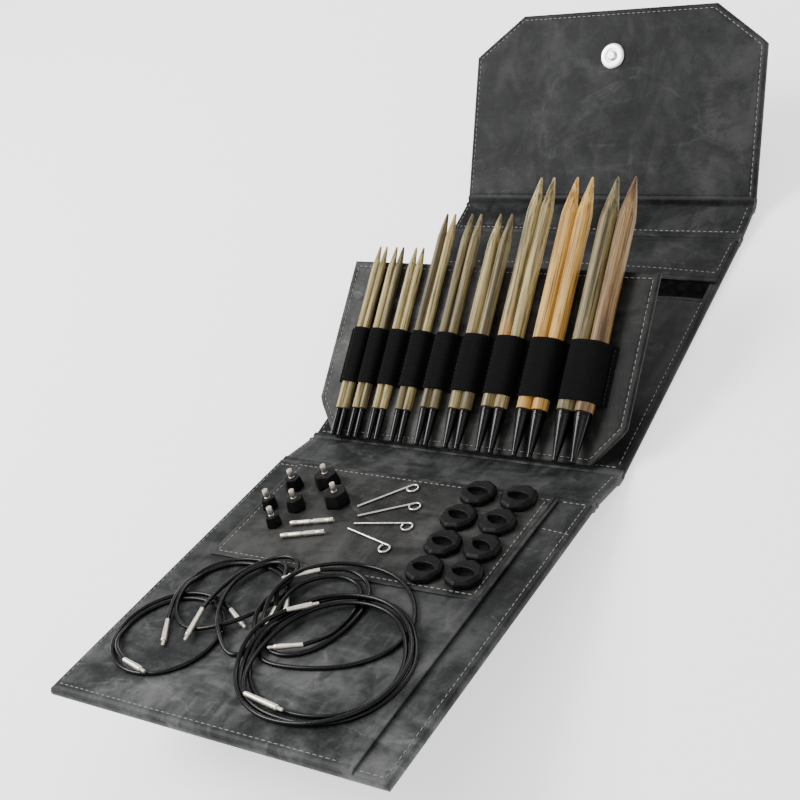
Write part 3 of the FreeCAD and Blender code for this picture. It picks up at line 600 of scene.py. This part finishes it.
for k, route in ROUTES.items():
    cu = bpy.data.curves.new("cord_line_%d" % k, "CURVE")
    cu.dimensions = "3D"
    sp = cu.splines.new("NURBS")
    sp.points.add(len(route) - 1)
    for p, q in zip(sp.points, world(F_FRONT, route)):
        p.co = (*q, 1)
    sp.order_u = 3
    sp.use_endpoint_u = True
    cu.resolution_u = 10
    cu.bevel_depth = 0.9 * MM
    cu.bevel_resolution = 4
    cu.use_fill_caps = True
    cu.materials.append(CORD)
    o = bpy.data.objects.new("cord_set_line_%d" % k, cu)
    scene.collection.objects.link(o)
    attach(o, "cord_set_%d" % k)
    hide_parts("cord_%d" % k)
    P = Parts()
    for a, b in SLEEVES[k]:
        P.add(*sleeve(a, b))
    e = P.done("cord_set_ends_%d" % k, SATIN, sharp=40)
    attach(e, "cord_set_%d" % k)
    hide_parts("cord_ends_%d" % k)

# ------------------------------------------------------------------ panels of the case
G = 0.8


def rect(x0, y0, x1, y1):
    return [(x0, y0), (x1, y0), (x1, y1), (x0, y1)]


FL = 156.3
o = slab("front_panel_leather", F_FRONT, rect(0, 0, W, FL - G), -4, 0, LEA_FRONT_PAINTED_SHEEN, wave=0.12, seed=1.0)
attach(o, "front_panel"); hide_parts("front_panel_cover")
o = slab("front_spine_leather", F_SPA, rect(0, -22.9 + G, W, -G), -4, 0, LEA_PANEL, wave=0.1, seed=2.0, groove=None)
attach(o, "spine_front"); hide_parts("spine_front")
o = slab("back_panel_leather", F_BACK, rect(0, G, W, 149.6 - G), 0, 3.0, LEA_REAR, wave=0.06, seed=3.0, rnd=1.1)
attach(o, "back_panel"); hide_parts("back_panel_cover")
o = slab("back_spine_leather", F_SPB, rect(0, G, W, 21.8 - G), -4, 0, LEA_TOP, wave=0.1, seed=4.0, groove=None)
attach(o, "spine_back"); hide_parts("spine_back")
TOPPOLY = [(0, G), (W, G), (W, 95 - 19.9), (W - 26.5, 95), (26.5, 95), (0, 95 - 19.9)]
o = slab("top_flap_leather", F_TOP, TOPPOLY, -4, 0, LEA_TOP, wave=0.2, seed=5.0)
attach(o, "top_flap"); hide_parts("top_flap_cover")

# pockets: sheets sewn on three sides, with one free edge
SHEET_EDGE = [0, 0.06, 0.2, 0.45, 0.9, 1.6, 2.1, 2.35, 2.55, 2.8, 3.2, 4.0, 5.4]


def lift_pocket(x, y):
    free = 0.75 * float(smooth01((x - 126) / 17)) * (0.35 + 0.65 * float(smooth01(y / 25)) * float(smooth01((150 - y) / 20)))
    return free - 0.85 * float(1 - smooth01((min(x, y) - 0.3) / 1.9))


pk = slab("cord_pocket_sheet", F_FRONT, rect(0.35, 0.4, 143.5, 153.6), 0.1, 1.0, LEA_FRONT_PAINTED_SHEEN, wave=0.12, seed=1.0, rnd=0.45,
          lift=lift_pocket, edge=SHEET_EDGE)
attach(pk, "front_panel"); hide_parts("cord_pocket")


def warp_pouch(x, y):
    return x, y + 1.9 * ((x - 13.5) / 128.5) * (153.5 - y) / 66.5


po = slab("accessory_pouch_sheet", F_FRONT, rect(13.5, 86.2, 142, 153.5), 1.05, 1.95, LEA_PALE, wave=0.14, seed=6.0, rnd=0.45,
          warp=warp_pouch, edge=SHEET_EDGE)
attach(po, "front_panel"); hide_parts("accessory_pouch")


def lift_back(x, y):
    free = 0.55 * float(smooth01((y - 96) / 11)) * float(smooth01((x - 3) / 12)) * float(smooth01((155 - x) / 10))
    return free - 0.9 * float(1 - smooth01((min(x, W - x, y - 0.8) - 0.3) / 1.8))


bp = slab("back_pocket_sheet", F_BACK, rect(0.5, 1.3, 157.5, 107), 3.02, 3.95, LEA_REAR, wave=0.1, seed=8.0, rnd=0.45,
          lift=lift_back, edge=SHEET_EDGE)
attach(bp, "back_panel"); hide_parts("back_pocket")


def lift_lip(x, y):
    return -0.9 * float(1 - smooth01((min(x, W - x) - 0.3) / 1.8))


def warp_lip(x, y):
    t = (148.8 - y) / 30.8
    return x, y + t * (3.4 * math.exp(-((x - 79) / 60) ** 2) - 0.2)


o = slab("pocket_lip_leather", F_BACK, rect(0.5, 118, 157.5, 148.8), 2.95, 3.98, LEA_REAR, wave=0.1, seed=9.0, rnd=0.5,
         lift=lift_lip, warp=warp_lip, edge=SHEET_EDGE)
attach(o, "back_panel"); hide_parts("pocket_lip")
# a near-black sheet under the pocket mouth: painted shade inside the slot
o = slab("pocket_mouth_shade_sheet", F_BACK, rect(4, 98, 154, 124), 2.9, 3.12, POCKET_SHADE_BLACK, wave=0.02, seed=9.5, rnd=0.15, groove=None,
         edge=[0, 0.1, 0.4, 1.5])
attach(o, "back_panel")

# the flap that carries the needles
FP = [(0.5 + 12.5, 1.2), (157.5 - 12.5, 1.2), (157.5, 17.7), (157.5, 86.5), (0.5, 86.5), (0.5, 17.7)]
o = slab("needle_flap_leather", F_FLAP, FP, 0, 2.0, LEA_FLAP_PAINTED_LIGHT, wave=0.22, seed=11.0, rnd=0.9, groove=2.8)
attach(o, "needle_flap"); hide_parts("needle_flap")


# --------------------------------------------------------------- folds between panels
def fold(name, hinge, deg_a, deg_b, thick_a, thick_b, mat, x0=-78.7, x1=78.7, reach=2.7):
    """The covering where it runs over a fold.  deg: the slope of each panel; a lies towards -Y and b towards +Y."""
    H = np.array(hinge, float)
    ra, rb = math.radians(deg_a), math.radians(deg_b)
    da, db = np.array([-math.cos(ra), -math.sin(ra)]), np.array([math.cos(rb), math.sin(rb)])
    na, nb = np.array([-math.sin(ra), math.cos(ra)]), np.array([-math.sin(rb), math.cos(rb)])
    nm = (na + nb) / np.linalg.norm(na + nb)
    h = H[1:]
    sec = []
    for s, o_ in ((reach, -0.10), (reach - 0.5, 0.03), (1.9, 0.06), (1.2, 0.0), (0.6, -0.25)):
        sec.append(h + da * s + na * o_)
    sec.append(h - nm * 0.5)
    for s, o_ in ((0.6, -0.25), (1.2, 0.0), (1.9, 0.06), (reach - 0.5, 0.03), (reach, -0.10)):
        sec.append(h + db * s + nb * o_)
    for s, o_ in ((reach, 0.12), (1.9, -0.05), (1.0, -0.02)):
        sec.append(h + db * s - nb * (thick_b + o_ * -1))
    sec.append(h - nm * (max(thick_a, thick_b) + 0.02 - 0.35))
    for s, o_ in ((1.0, -0.02), (1.9, -0.05), (reach, 0.12)):
        sec.append(h + da * s - na * (thick_a + o_ * -1))
    n, m = 64, len(sec)
    v, f = [], []
    for i in range(n + 1):
        x = x0 + (x1 - x0) * i / n
        e = 0.12 * wob(x, h[0], 0.07, 3.0)
        for k, p in enumerate(sec):
            q = p + nm * (e if k == 5 else 0.0)
            v.append((x, q[0], q[1]))
    for i in range(n):
        for k in range(m):
            f.append((i * m + k, i * m + (k + 1) % m, (i + 1) * m + (k + 1) % m, (i + 1) * m + k))
    f.append(tuple(range(m - 1, -1, -1)))
    f.append(tuple(n * m + k for k in range(m)))
    ob = build(name, np.array(v) * MM, f, mat, sharp=50)
    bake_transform(ob)
    return ob


HA = (0, -74.8, 4)
ra = math.radians(20.3)
HF = (0, -74.8 - 22.9 * math.cos(ra), 4 + 22.9 * math.sin(ra))
fold("fold_front_panel", HF, -12.3, -20.3, 4, 4, LEA_PANEL)
fold("fold_front_spine", HA, -20.3, 0, 4, 4, LEA_PANEL)
fold("fold_back_spine", (0, 74.8, 4), 0, 5.7, 4, 4, LEA_REAR)
fold("fold_top_flap", (0, TOP_Y, TOP_Z), 5.7, 45.7, 4, 4, LEA_REAR)

# the tongue that sews the needle flap to the back panel
v, f = [], []
sec = [(-66.0, 4.02), (-70.0, 4.05), (-73.2, 4.12), (-73.95, 4.35), (-73.9, 4.75), (-73.2, 5.05), (-70.0, 6.75), (-67.0, 8.3),
       (-66.8, 7.9), (-69.6, 6.4), (-72.4, 4.9), (-72.6, 4.75), (-70.0, 4.6), (-66.0, 4.5)]
n, m = 40, len(sec)
for i in range(n + 1):
    x = -66 + 132 * i / n
    for y, z in sec:
        v.append((x * MM, y * MM, z * MM))
for i in range(n):
    for k in range(m):
        f.append((i * m + k, i * m + (k + 1) % m, (i + 1) * m + (k + 1) % m, (i + 1) * m + k))
f.append(tuple(range(m - 1, -1, -1)))
f.append(tuple(n * m + k for k in range(m)))
o = build("needle_flap_tongue", v, f, LEA_PALE, sharp=50)
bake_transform(o)

# -------------------------------------------------------------------- stitching
S = Stitches()
zp = lambda x, y: 0.92 + (lift_pocket(x, y) if x < 143.5 else -1.0) + (0.0)
S.run(F_FRONT, [(3.0, 3.2), (141.5, 3.2)], 0.92)
S.run(F_FRONT, [(144.8, 2.6), (155.4, 2.6), (155.4, 153.2), (144.8, 153.2)], -0.06)
S.run(F_FRONT, [(141.5, 150.9), (3.0, 150.9), (3.0, 4.5)], lambda x, y: 1.86 if 13.5 < x < 142 and y > 87 else 0.92)
S.run(F_FRONT, [(15.9, 150), (15.9, 89.0)], 1.86)
S.run(F_FRONT, [(16.2, 88.8), (139.2, 90.6)], 1.86)
S.run(F_FRONT, [(139.4, 91.2), (139.4, 150)], 1.86)
S.run(F_FRONT, [(144.5, 135.5), (157.2, 134.2)], -0.02)
S.done("stitching_front_panel", "front_panel")
S = Stitches()
S.run(F_SPA, [(2.6, -21), (2.6, -2)], -0.02)
S.run(F_SPA, [(155.4, -21), (155.4, -2)], -0.02)
S.done("stitching_front_spine", "spine_front")
S = Stitches()
S.run(F_BACK, [(3.4, 3.8), (154.6, 3.8)], 3.86)
S.run(F_BACK, [(3.0, 5), (3.0, 105)], 3.84)
S.run(F_BACK, [(155.0, 5), (155.0, 105)], 3.84)
S.run(F_BACK, [(3.2, 124.5), (30, 126.4), (79, 127.8), (128, 126.4), (154.8, 124.5)], 3.88)
S.run(F_BACK, [(3.1, 125.5), (3.1, 146)], 3.88)
S.run(F_BACK, [(154.9, 125.5), (154.9, 146)], 3.88)
S.done("stitching_back_panel", "back_panel")
S = Stitches()
S.run(F_SPB, [(2.6, 2.2), (2.6, 20)], -0.02)
S.run(F_SPB, [(155.4, 2.2), (155.4, 20)], -0.02)
S.run(F_SPB, [(3.4, 3.2), (154.6, 3.2)], -0.02)
S.done("stitching_back_spine", "spine_back")


def inset(poly, d):
    P = np.array(poly, float)
    out = []
    n = len(P)
    for i in range(n):
        a, b, c = P[i - 1], P[i], P[(i + 1) % n]
        e1, e2 = (b - a) / np.hypot(*(b - a)), (c - b) / np.hypot(*(c - b))
        n1, n2 = np.array([-e1[1], e1[0]]), np.array([-e2[1], e2[0]])
        A = np.array([n1, n2])
        out.append(np.linalg.solve(A, [n1 @ b + d, n2 @ b + d]))
    return [tuple(p) for p in out]


S = Stitches()
q = inset(TOPPOLY, 2.5)
S.run(F_TOP, q[1:] + [q[0]], -0.06)
S.done("stitching_top_flap", "top_flap")
S = Stitches()
q = inset(FP, 2.8)
S.run(F_FLAP, q + [q[0]], 1.93)

# ------------------------------------------------------------------ needles and band
PAIRS = [  # tag, middle of the pair, length, diameter, ferrule length
    (1, 16.2, 92.5, 3.25, 13.0), (2, 25.6, 92.5, 3.5, 13.8), (3, 36.8, 92.5, 3.75, 14.5),
    (4, 49.5, 109.5, 4.0, 15.0), (5, 63.2, 109.5, 4.5, 17.0), (6, 79.0, 109.5, 5.5, 17.8),
    (7, 95.9, 127.0, 6.0, 20.0), (8, 114.5, 127.0, 7.0, 20.6), (9, 134.7, 127.0, 8.0, 21.6)]
FT, GAP, BASE = 2.0, 0.3, 0.8
GREY = ((0.030, 0.021, 0.0080), (0.108, 0.084, 0.035), (0.27, 0.215, 0.097))
PALE = ((0.058, 0.039, 0.013), (0.245, 0.187, 0.072), (0.54, 0.435, 0.195))
TAN = ((0.05, 0.026, 0.009), (0.165, 0.088, 0.030), (0.30, 0.19, 0.078))
AMBER = ((0.19, 0.080, 0.012), (0.50, 0.265, 0.048), (0.68, 0.42, 0.115))
WOODS = {1: (PALE, PALE), 2: (PALE, GREY), 3: (PALE, PALE), 4: (GREY, PALE), 5: (GREY, GREY), 6: (PALE, GREY),
         7: (PALE, PALE), 8: (AMBER, AMBER), 9: (GREY, TAN)}


def needle_wood(r, y0, y1, taper):
    prof = [(0, y0 + 0.05), (r * 0.72, y0 + 0.05), (r - 0.10, y0 + 0.05), (r, y0 + 0.3)]
    s = y1 - taper
    for k in range(1, 9):
        prof.append((r, y0 + 0.3 + (s - y0 - 0.3) * k / 8))
    for k in range(1, 15):
        t = k / 14
        prof.append((0.5 + (r - 0.5) * (1 - t ** 1.28), s + (taper - 0.5) * t))
    for k in range(1, 5):
        a = math.pi / 2 * k / 4
        prof.append((0.5 * math.cos(a) if k < 4 else 0, y1 - 0.5 + 0.5 * math.sin(a)))
    return prof


def needle_ferrule(r, y0, fer):
    c = r - 0.25
    prof = [(0, y0 + 3.4), (0.66, y0 + 3.2), (0.70, y0 + 0.15), (0.82, y0), (1.10, y0), (1.22, y0 + 0.14), (1.25, y0 + 0.5),
            (1.25, y0 + 1.5), (1.16, y0 + 1.6), (1.16, y0 + 1.85), (1.27, y0 + 1.95)]
    L = fer - 4.6 - 0.0
    for k in range(0, 9):
        t = k / 8
        prof.append((1.27 + (c - 0.06 - 1.27) * (t ** 0.92), y0 + 2.2 + L * t))
    prof += [(c - 0.06, y0 + fer - 2.35), (c, y0 + fer - 2.2), (c, y0 + fer - 1.5), (c - 0.09, y0 + fer - 1.4), (c - 0.09, y0 + fer - 1.15),
             (c, y0 + fer - 1.05), (c, y0 + fer - 0.25), (c - 0.12, y0 + fer), (0, y0 + fer)]
    return prof


UP = Matrix.Rotation(math.radians(-90), 4, "X")     # a turned shape's +Z laid along the flap
for tag, xm, length, dia, fer in PAIRS:
    r = dia / 2
    taper = 1.9 * dia + 5.0
    P = Parts()
    for k, side in enumerate((-1, 1)):
        x, z = xm + side * (r + GAP / 2), FT + 0.2 + r
        M = Matrix.Scale(MM, 4) @ Matrix.Translation((x, 0, z)) @ UP
        pts, fc = lathe(needle_wood(r, BASE + fer, BASE + length, taper), 32, M)
        o = build("needle_%d%s_wood" % (tag, "ab"[k]), pts, fc,
                  wood("wood_%d%s" % (tag, "ab"[k]), *WOODS[tag][k], seed=tag * 2.0 + k * 1.3 + 1,
                       accent=((0.55, 0.22, 0.05) if (tag, k) in ((7, 0), (4, 1)) else None)))
        o.matrix_world = metres(F_FLAP)
        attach(o, "needle_pair_%d" % tag)
        if k == 0:
            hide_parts("needle_tips_%d" % tag)
        P.add(*lathe(needle_ferrule(r, BASE, fer), 32, M))
    e = P.done("needle_%d_ferrules" % tag, FERRULE, sharp=40)
    e.matrix_world = metres(F_FLAP)
    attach(e, "needle_pair_%d" % tag)
    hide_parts("ferrules_%d" % tag)

# elastic band
X0, X1 = 9.7, 146.3
BT = 0.66


def band_z(x):
    z = FT + 0.06 + BT / 2
    for _, xm, _, dia, _ in PAIRS:
        half = dia + GAP / 2 + 0.55
        u = abs(x - xm) / half
        if u < 1:
            z = max(z, FT + 0.1 + BT / 2 + (0.2 + dia + 0.35) * (1 - u ** 3.4) ** (1 / 2.3))
    return z


xs = set(np.linspace(X0, X1, 150))
for _, xm, _, dia, _ in PAIRS:
    half = dia + GAP / 2 + 0.55
    for t in (0.0, 0.3, 0.5, 0.65, 0.76, 0.84, 0.9, 0.94, 0.97, 0.985, 0.995, 0.9995):
        xs |= {xm - half * t, xm + half * t}
xs = sorted(xs)
line = np.array([(x, band_z(x)) for x in xs])
tan = np.gradient(line, axis=0)
tan /= np.linalg.norm(tan, axis=1)[:, None]
nrm = np.stack([-tan[:, 1], tan[:, 0]], 1)
YB = np.linspace(26.3, 52.6, 61)
nl, nyb = len(xs), len(YB)
v, f = [], []
for side in (1, -1):
    for j, y in enumerate(YB):
        t = min(y - YB[0], YB[-1] - y)
        rib = 0.05 * math.sin(y * 2 * math.pi / 1.75) if side == 1 else 0
        edge = 0.4 + 0.6 * min(1.0, (t / 0.5)) ** 0.5
        sel = 0.07 * math.exp(-((t - 0.9) / 0.5) ** 2) if side == 1 else 0
        for p, q in zip(line, nrm):
            w = 0.02 * wob(p[0] * 2.2, y * 2.2, 1.0, 2.0)
            c = p + q * side * (BT / 2 * edge + rib * edge + sel + w)
            v.append((c[0], y, c[1]))
idx = lambda s, j, i: s * nl * nyb + j * nl + i
for j in range(nyb - 1):
    for i in range(nl - 1):
        f.append((idx(0, j, i), idx(0, j, i + 1), idx(0, j + 1, i + 1), idx(0, j + 1, i)))
        f.append((idx(1, j, i), idx(1, j + 1, i), idx(1, j + 1, i + 1), idx(1, j, i + 1)))
for i in range(nl - 1):
    f.append((idx(1, 0, i), idx(1, 0, i + 1), idx(0, 0, i + 1), idx(0, 0, i)))
    f.append((idx(0, nyb - 1, i), idx(0, nyb - 1, i + 1), idx(1, nyb - 1, i + 1), idx(1, nyb - 1, i)))
for j in range(nyb - 1):
    f.append((idx(0, j, 0), idx(0, j + 1, 0), idx(1, j + 1, 0), idx(1, j, 0)))
    f.append((idx(1, j, nl - 1), idx(1, j + 1, nl - 1), idx(0, j + 1, nl - 1), idx(0, j, nl - 1)))
eb = build("elastic_band_woven", np.array(v) * MM, f, ELASTIC, sharp=60)
eb.matrix_world = metres(F_FLAP)
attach(eb, "needle_flap"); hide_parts("elastic_band")

# bar tacks between the loops
BLACK_THREAD = simple("black_thread", (0.012, 0.012, 0.013), 0.6, vary=0.3, scale=2200, bump_s=0.3)
T = Stitches()
cuts = [11.2] + [(a[1] + a[3] + b[1] - b[3]) / 2 for a, b in zip(PAIRS, PAIRS[1:])] + [144.9]
for x in cuts:
    T.run(F_FLAP, [(x, 27.2), (x, 51.7)], band_z(x) + 0.40, pitch=1.9, long=1.45, wide=0.2, high=0.16)
o = T.parts.done("band_stitching", BLACK_THREAD)
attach(o, "needle_flap")
S.done("stitching_needle_flap", "needle_flap")

# --------------------------------------------------------------- small accessories
PT = 2.2


def hexagon(theta, turn, R):
    a = (theta - turn) % (math.pi / 3) - math.pi / 6
    return min(R * math.cos(math.pi / 6) / math.cos(a), R * 0.972)


CAPS = [("large", 5.6, 6.0, [(50.5, 129.5, 12), (38.0, 140.5, 20)]),
        ("medium", 4.0, 5.4, [(34.0, 122.0, 5), (23.5, 135.0, 25)]),
        ("small", 3.3, 5.0, [(31.0, 109.5, 15), (21.0, 120.0, 8)])]
for size, R, h, spots in CAPS:
    blk, bar = Parts(), Parts()
    for x, y, turn in spots:
        n, R = 60, {"large": 6.0, "medium": 4.45, "small": 3.65}[size]
        rings = [(R - 0.35, 0.0), (R - 0.08, 0.12), (R, 0.4), (R * 0.985, h * 0.25), (R * 0.93, h * 0.6), (R * 0.872, h - 0.55), (R * 0.862, h - 0.25),
                 (R * 0.845, h - 0.08), (R * 0.81, h), (R * 0.55, h + 0.02), (1.75, h + 0.03), (1.55, h - 0.06), (1.26, h - 0.10), (1.26, h - 1.0)]
        v = [(0, 0, 0)]
        for rr, z in rings:
            for k in range(n):
                th = 2 * math.pi * k / n
                w = hexagon(th, math.radians(turn), rr) if rr > 1.8 else rr
                v.append((w * math.cos(th), w * math.sin(th), z))
        f = [(0, 1 + (k + 1) % n, 1 + k) for k in range(n)]
        for i in range(len(rings) - 1):
            for k in range(n):
                a, b = 1 + i * n + k, 1 + i * n + (k + 1) % n
                f.append((a, b, b + n, a + n))
        last = 1 + (len(rings) - 1) * n
        f.append(tuple(last + k for k in range(n)))
        blk.add(world(F_FRONT @ Matrix.Translation((x, y, PT)), v), f)
        top = h + 4.0
        prof = [(0, h - 0.9), (1.2, h - 0.9), (1.25, h - 0.7), (1.25, h + 0.35), (1.14, h + 0.45), (1.14, h + 0.6), (1.22, h + 0.7), (1.22, top - 0.2), (1.08, top), (0.9, top), (0.8, top - 0.12), (0.8, top - 2.2), (0, top - 2.2)]
        bar.add(*lathe(prof, 28, Matrix.Scale(MM, 4) @ F_FRONT @ Matrix.Translation((x, y, PT))))
    o = blk.done("end_cap_blocks_%s" % size, PLASTIC, sharp=32)
    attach(o, "caps_%s" % size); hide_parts("end_caps_%s" % size)
    o = bar.done("end_cap_sockets_%s" % size, SATIN, sharp=40)
    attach(o, "caps_%s" % size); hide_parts("cap_barrels_%s" % size)

P = Parts()
for x, y, ang in ((39.0, 110.8, 19.9), (40.0, 102.3, 21.2)):
    M = F_FRONT @ Matrix.Translation((x, y, PT + 1.05)) @ Matrix.Rotation(math.radians(ang), 4, "Z") @ Matrix.Rotation(math.radians(90), 4, "Y")
    L = 19.0
    prof = [(0, 1.4), (0.62, 1.4), (0.66, 0.12), (0.78, 0), (0.92, 0), (1.05, 0.18), (1.05, 3.2), (0.99, 3.3), (0.99, 3.5), (1.05, 3.6), (1.05, L / 2 - 0.65),
            (0.82, L / 2 - 0.5), (0.8, L / 2 + 0.5), (1.05, L / 2 + 0.65), (1.05, L - 3.6), (0.99, L - 3.5), (0.99, L - 3.3), (1.05, L - 3.2),
            (1.05, L - 0.18), (0.92, L), (0.78, L), (0.66, L - 0.12), (0.62, L - 1.4), (0, L - 1.4)]
    P.add(*lathe(prof, 28, Matrix.Scale(MM, 4) @ M))
o = P.done("cord_connector_tubes", SATIN, sharp=40)
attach(o, "connectors"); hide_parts("cord_connectors")

GRIPS = [[(110.5, 146.6, -8), (129.0, 147.2, -6)], [(110.5, 130.3, -14), (128.2, 130.8, -16)],
         [(113.0, 113.4, -10), (130.2, 114.6, -22)], [(114.0, 97.4, -4), (131.3, 98.4, -4)]]
for i, row in enumerate(GRIPS):
    P = Parts()
    for x, y, ang in row:
        n, R, t = 96, 7.75, 3.4
        a2, w2 = 5.3, 2.45

        def pad(th):
            a = th % (math.pi / 4) - math.pi / 8
            return min(R * 1.03 * math.cos(math.pi / 8) / math.cos(a), R * 1.005)

        def lens(th):
            big = (a2 * a2 + w2 * w2) / (2 * w2)
            off = big - w2
            c, s = math.cos(th), abs(math.sin(th))
            bq = off * s
            return min(-bq + math.sqrt(bq * bq + big * big - off * off), a2 - 0.12)

        rings = []
        for k in range(n):
            th = 2 * math.pi * k / n
            ro, ri = pad(th), lens(th)
            rings.append([(ro - 0.6, 0), (ro - 0.12, 0.18), (ro, 0.6), (ro - 0.02, t - 1.15), (ro - 0.14, t - 0.95), (ro - 0.95, t - 0.2), (ro - 1.15, t - 0.05),
                          (ri + 0.3 + 0.5 * (ro - ri - 1.45), t - 0.16), (ri + 0.42, t - 0.34), (ri + 0.16, t - 0.42), (ri + 0.04, t - 0.58), (ri, t - 0.9),
                          (ri * 0.97, t - 2.6), (ri * 0.88, t - 2.95), (ri * 0.45, t - 3.0)])
        m = len(rings[0])
        v = [(0, 0, 0)]
        for j in range(m):
            for k in range(n):
                th = 2 * math.pi * k / n
                v.append((rings[k][j][0] * math.cos(th), rings[k][j][0] * math.sin(th), rings[k][j][1]))
        f = [(0, 1 + (k + 1) % n, 1 + k) for k in range(n)]
        for j in range(m - 1):
            for k in range(n):
                a, b = 1 + j * n + k, 1 + j * n + (k + 1) % n
                f.append((a, b, b + n, a + n))
        v.append((0, 0, t - 3.0))
        c = len(v) - 1
        last = 1 + (m - 1) * n
        f += [(last + k, last + (k + 1) % n, c) for k in range(n)]
        P.add(world(F_FRONT @ Matrix.Translation((x, y, PT)) @ Matrix.Rotation(math.radians(ang), 4, "Z"), v), f)
    o = P.done("rubber_grips_%d" % (i + 1), RUBBER, sharp=38)
    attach(o, "grip_pair_%d" % (i + 1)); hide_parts("grips_%d" % (i + 1))

# snap: stud on the closing flap, socket under the front panel
prof = [(0, 0.02), (6.1, 0.02), (6.3, 0.2), (6.3, 0.5), (6.12, 0.82), (5.75, 0.98), (5.2, 1.06), (4.3, 1.08), (3.6, 1.05), (3.25, 0.96), (2.9, 0.93),
        (2.5, 0.95), (2.2, 1.15), (2.12, 1.7), (2.2, 1.95), (2.05, 2.14), (1.6, 2.2), (0.8, 2.2), (0, 2.16)]
o = build("snap_stud_disc", *lathe(prof, 56, Matrix.Scale(MM, 4) @ F_TOP @ Matrix.Translation((79, 72, 0))), SNAPM, sharp=50)
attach(o, "top_flap"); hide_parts("snap_stud")
prof = [(0, 0.5), (1.9, 0.5), (2.15, 0.25), (2.2, -0.85), (2.5, -1.1), (3.1, -1.2), (4.0, -1.2), (4.6, -1.05), (5.3, -1.12), (5.9, -0.95), (6.25, -0.6),
        (6.3, -0.2), (6.15, 0.0), (4.0, 0.6), (0, 0.6)]
o = build("snap_socket_ring", *lathe(prof, 56, Matrix.Scale(MM, 4) @ F_FRONT @ Matrix.Translation((79, 70, -4.0))), SNAPM, sharp=50)
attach(o, "front_panel"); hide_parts("snap_socket")


# carried-over CAD nodes
def paint(node, mat, sharp=None):
    ob = frame["nodes"][node]
    ob.data.materials.clear()
    ob.data.materials.append(mat)


for n_ in ("front_board", "back_board", "top_flap_board"):
    paint(n_, BOARD)
for k in range(1, 5):
    paint("tightening_key_%d" % k, SILVER)

# ---------------------------------------------------------------- floor and light
me = bpy.data.meshes.new("floor")
me.from_pydata([(-25, -25, -0.0004), (25, -25, -0.0004), (25, 25, -0.0004), (-25, 25, -0.0004)], [], [(0, 1, 2, 3)])
floor = bpy.data.objects.new("floor", me)
scene.collection.objects.link(floor)
m, nt, b = new_mat("floor_white")
b.inputs["Base Color"].default_value = (0.95, 0.95, 0.95, 1)
b.inputs["Roughness"].default_value = 0.9
b.inputs["Emission Color"].default_value = (1, 1, 1, 1)
b.inputs["Emission Strength"].default_value = 1.1
me.materials.append(m)

wd = bpy.data.worlds.new("world")
wd.use_nodes = True
wd.node_tree.nodes["Background"].inputs[0].default_value = (1, 1, 1, 1)
wd.node_tree.nodes["Background"].inputs[1].default_value = 0.7
scene.world = wd


def area(name, loc, target, size, power):
    ld = bpy.data.lights.new(name, "AREA")
    ld.shape = "RECTANGLE"
    ld.size, ld.size_y = size
    ld.energy = power
    lo = bpy.data.objects.new(name, ld)
    scene.collection.objects.link(lo)
    lo.location = loc
    lo.rotation_euler = (Vector(target) - Vector(loc)).to_track_quat("-Z", "Y").to_euler()
    return lo


area("key_soft", (-0.85, -0.35, 1.0), (0, -0.08, 0), (0.7, 0.7), 24)
area("fill_soft", (0.9, -0.9, 1.0), (0, -0.05, 0), (1.0, 0.7), 3)
area("rim_soft", (-0.1, 1.2, 1.0), (0, 0, 0.02), (1.0, 0.5), 8)
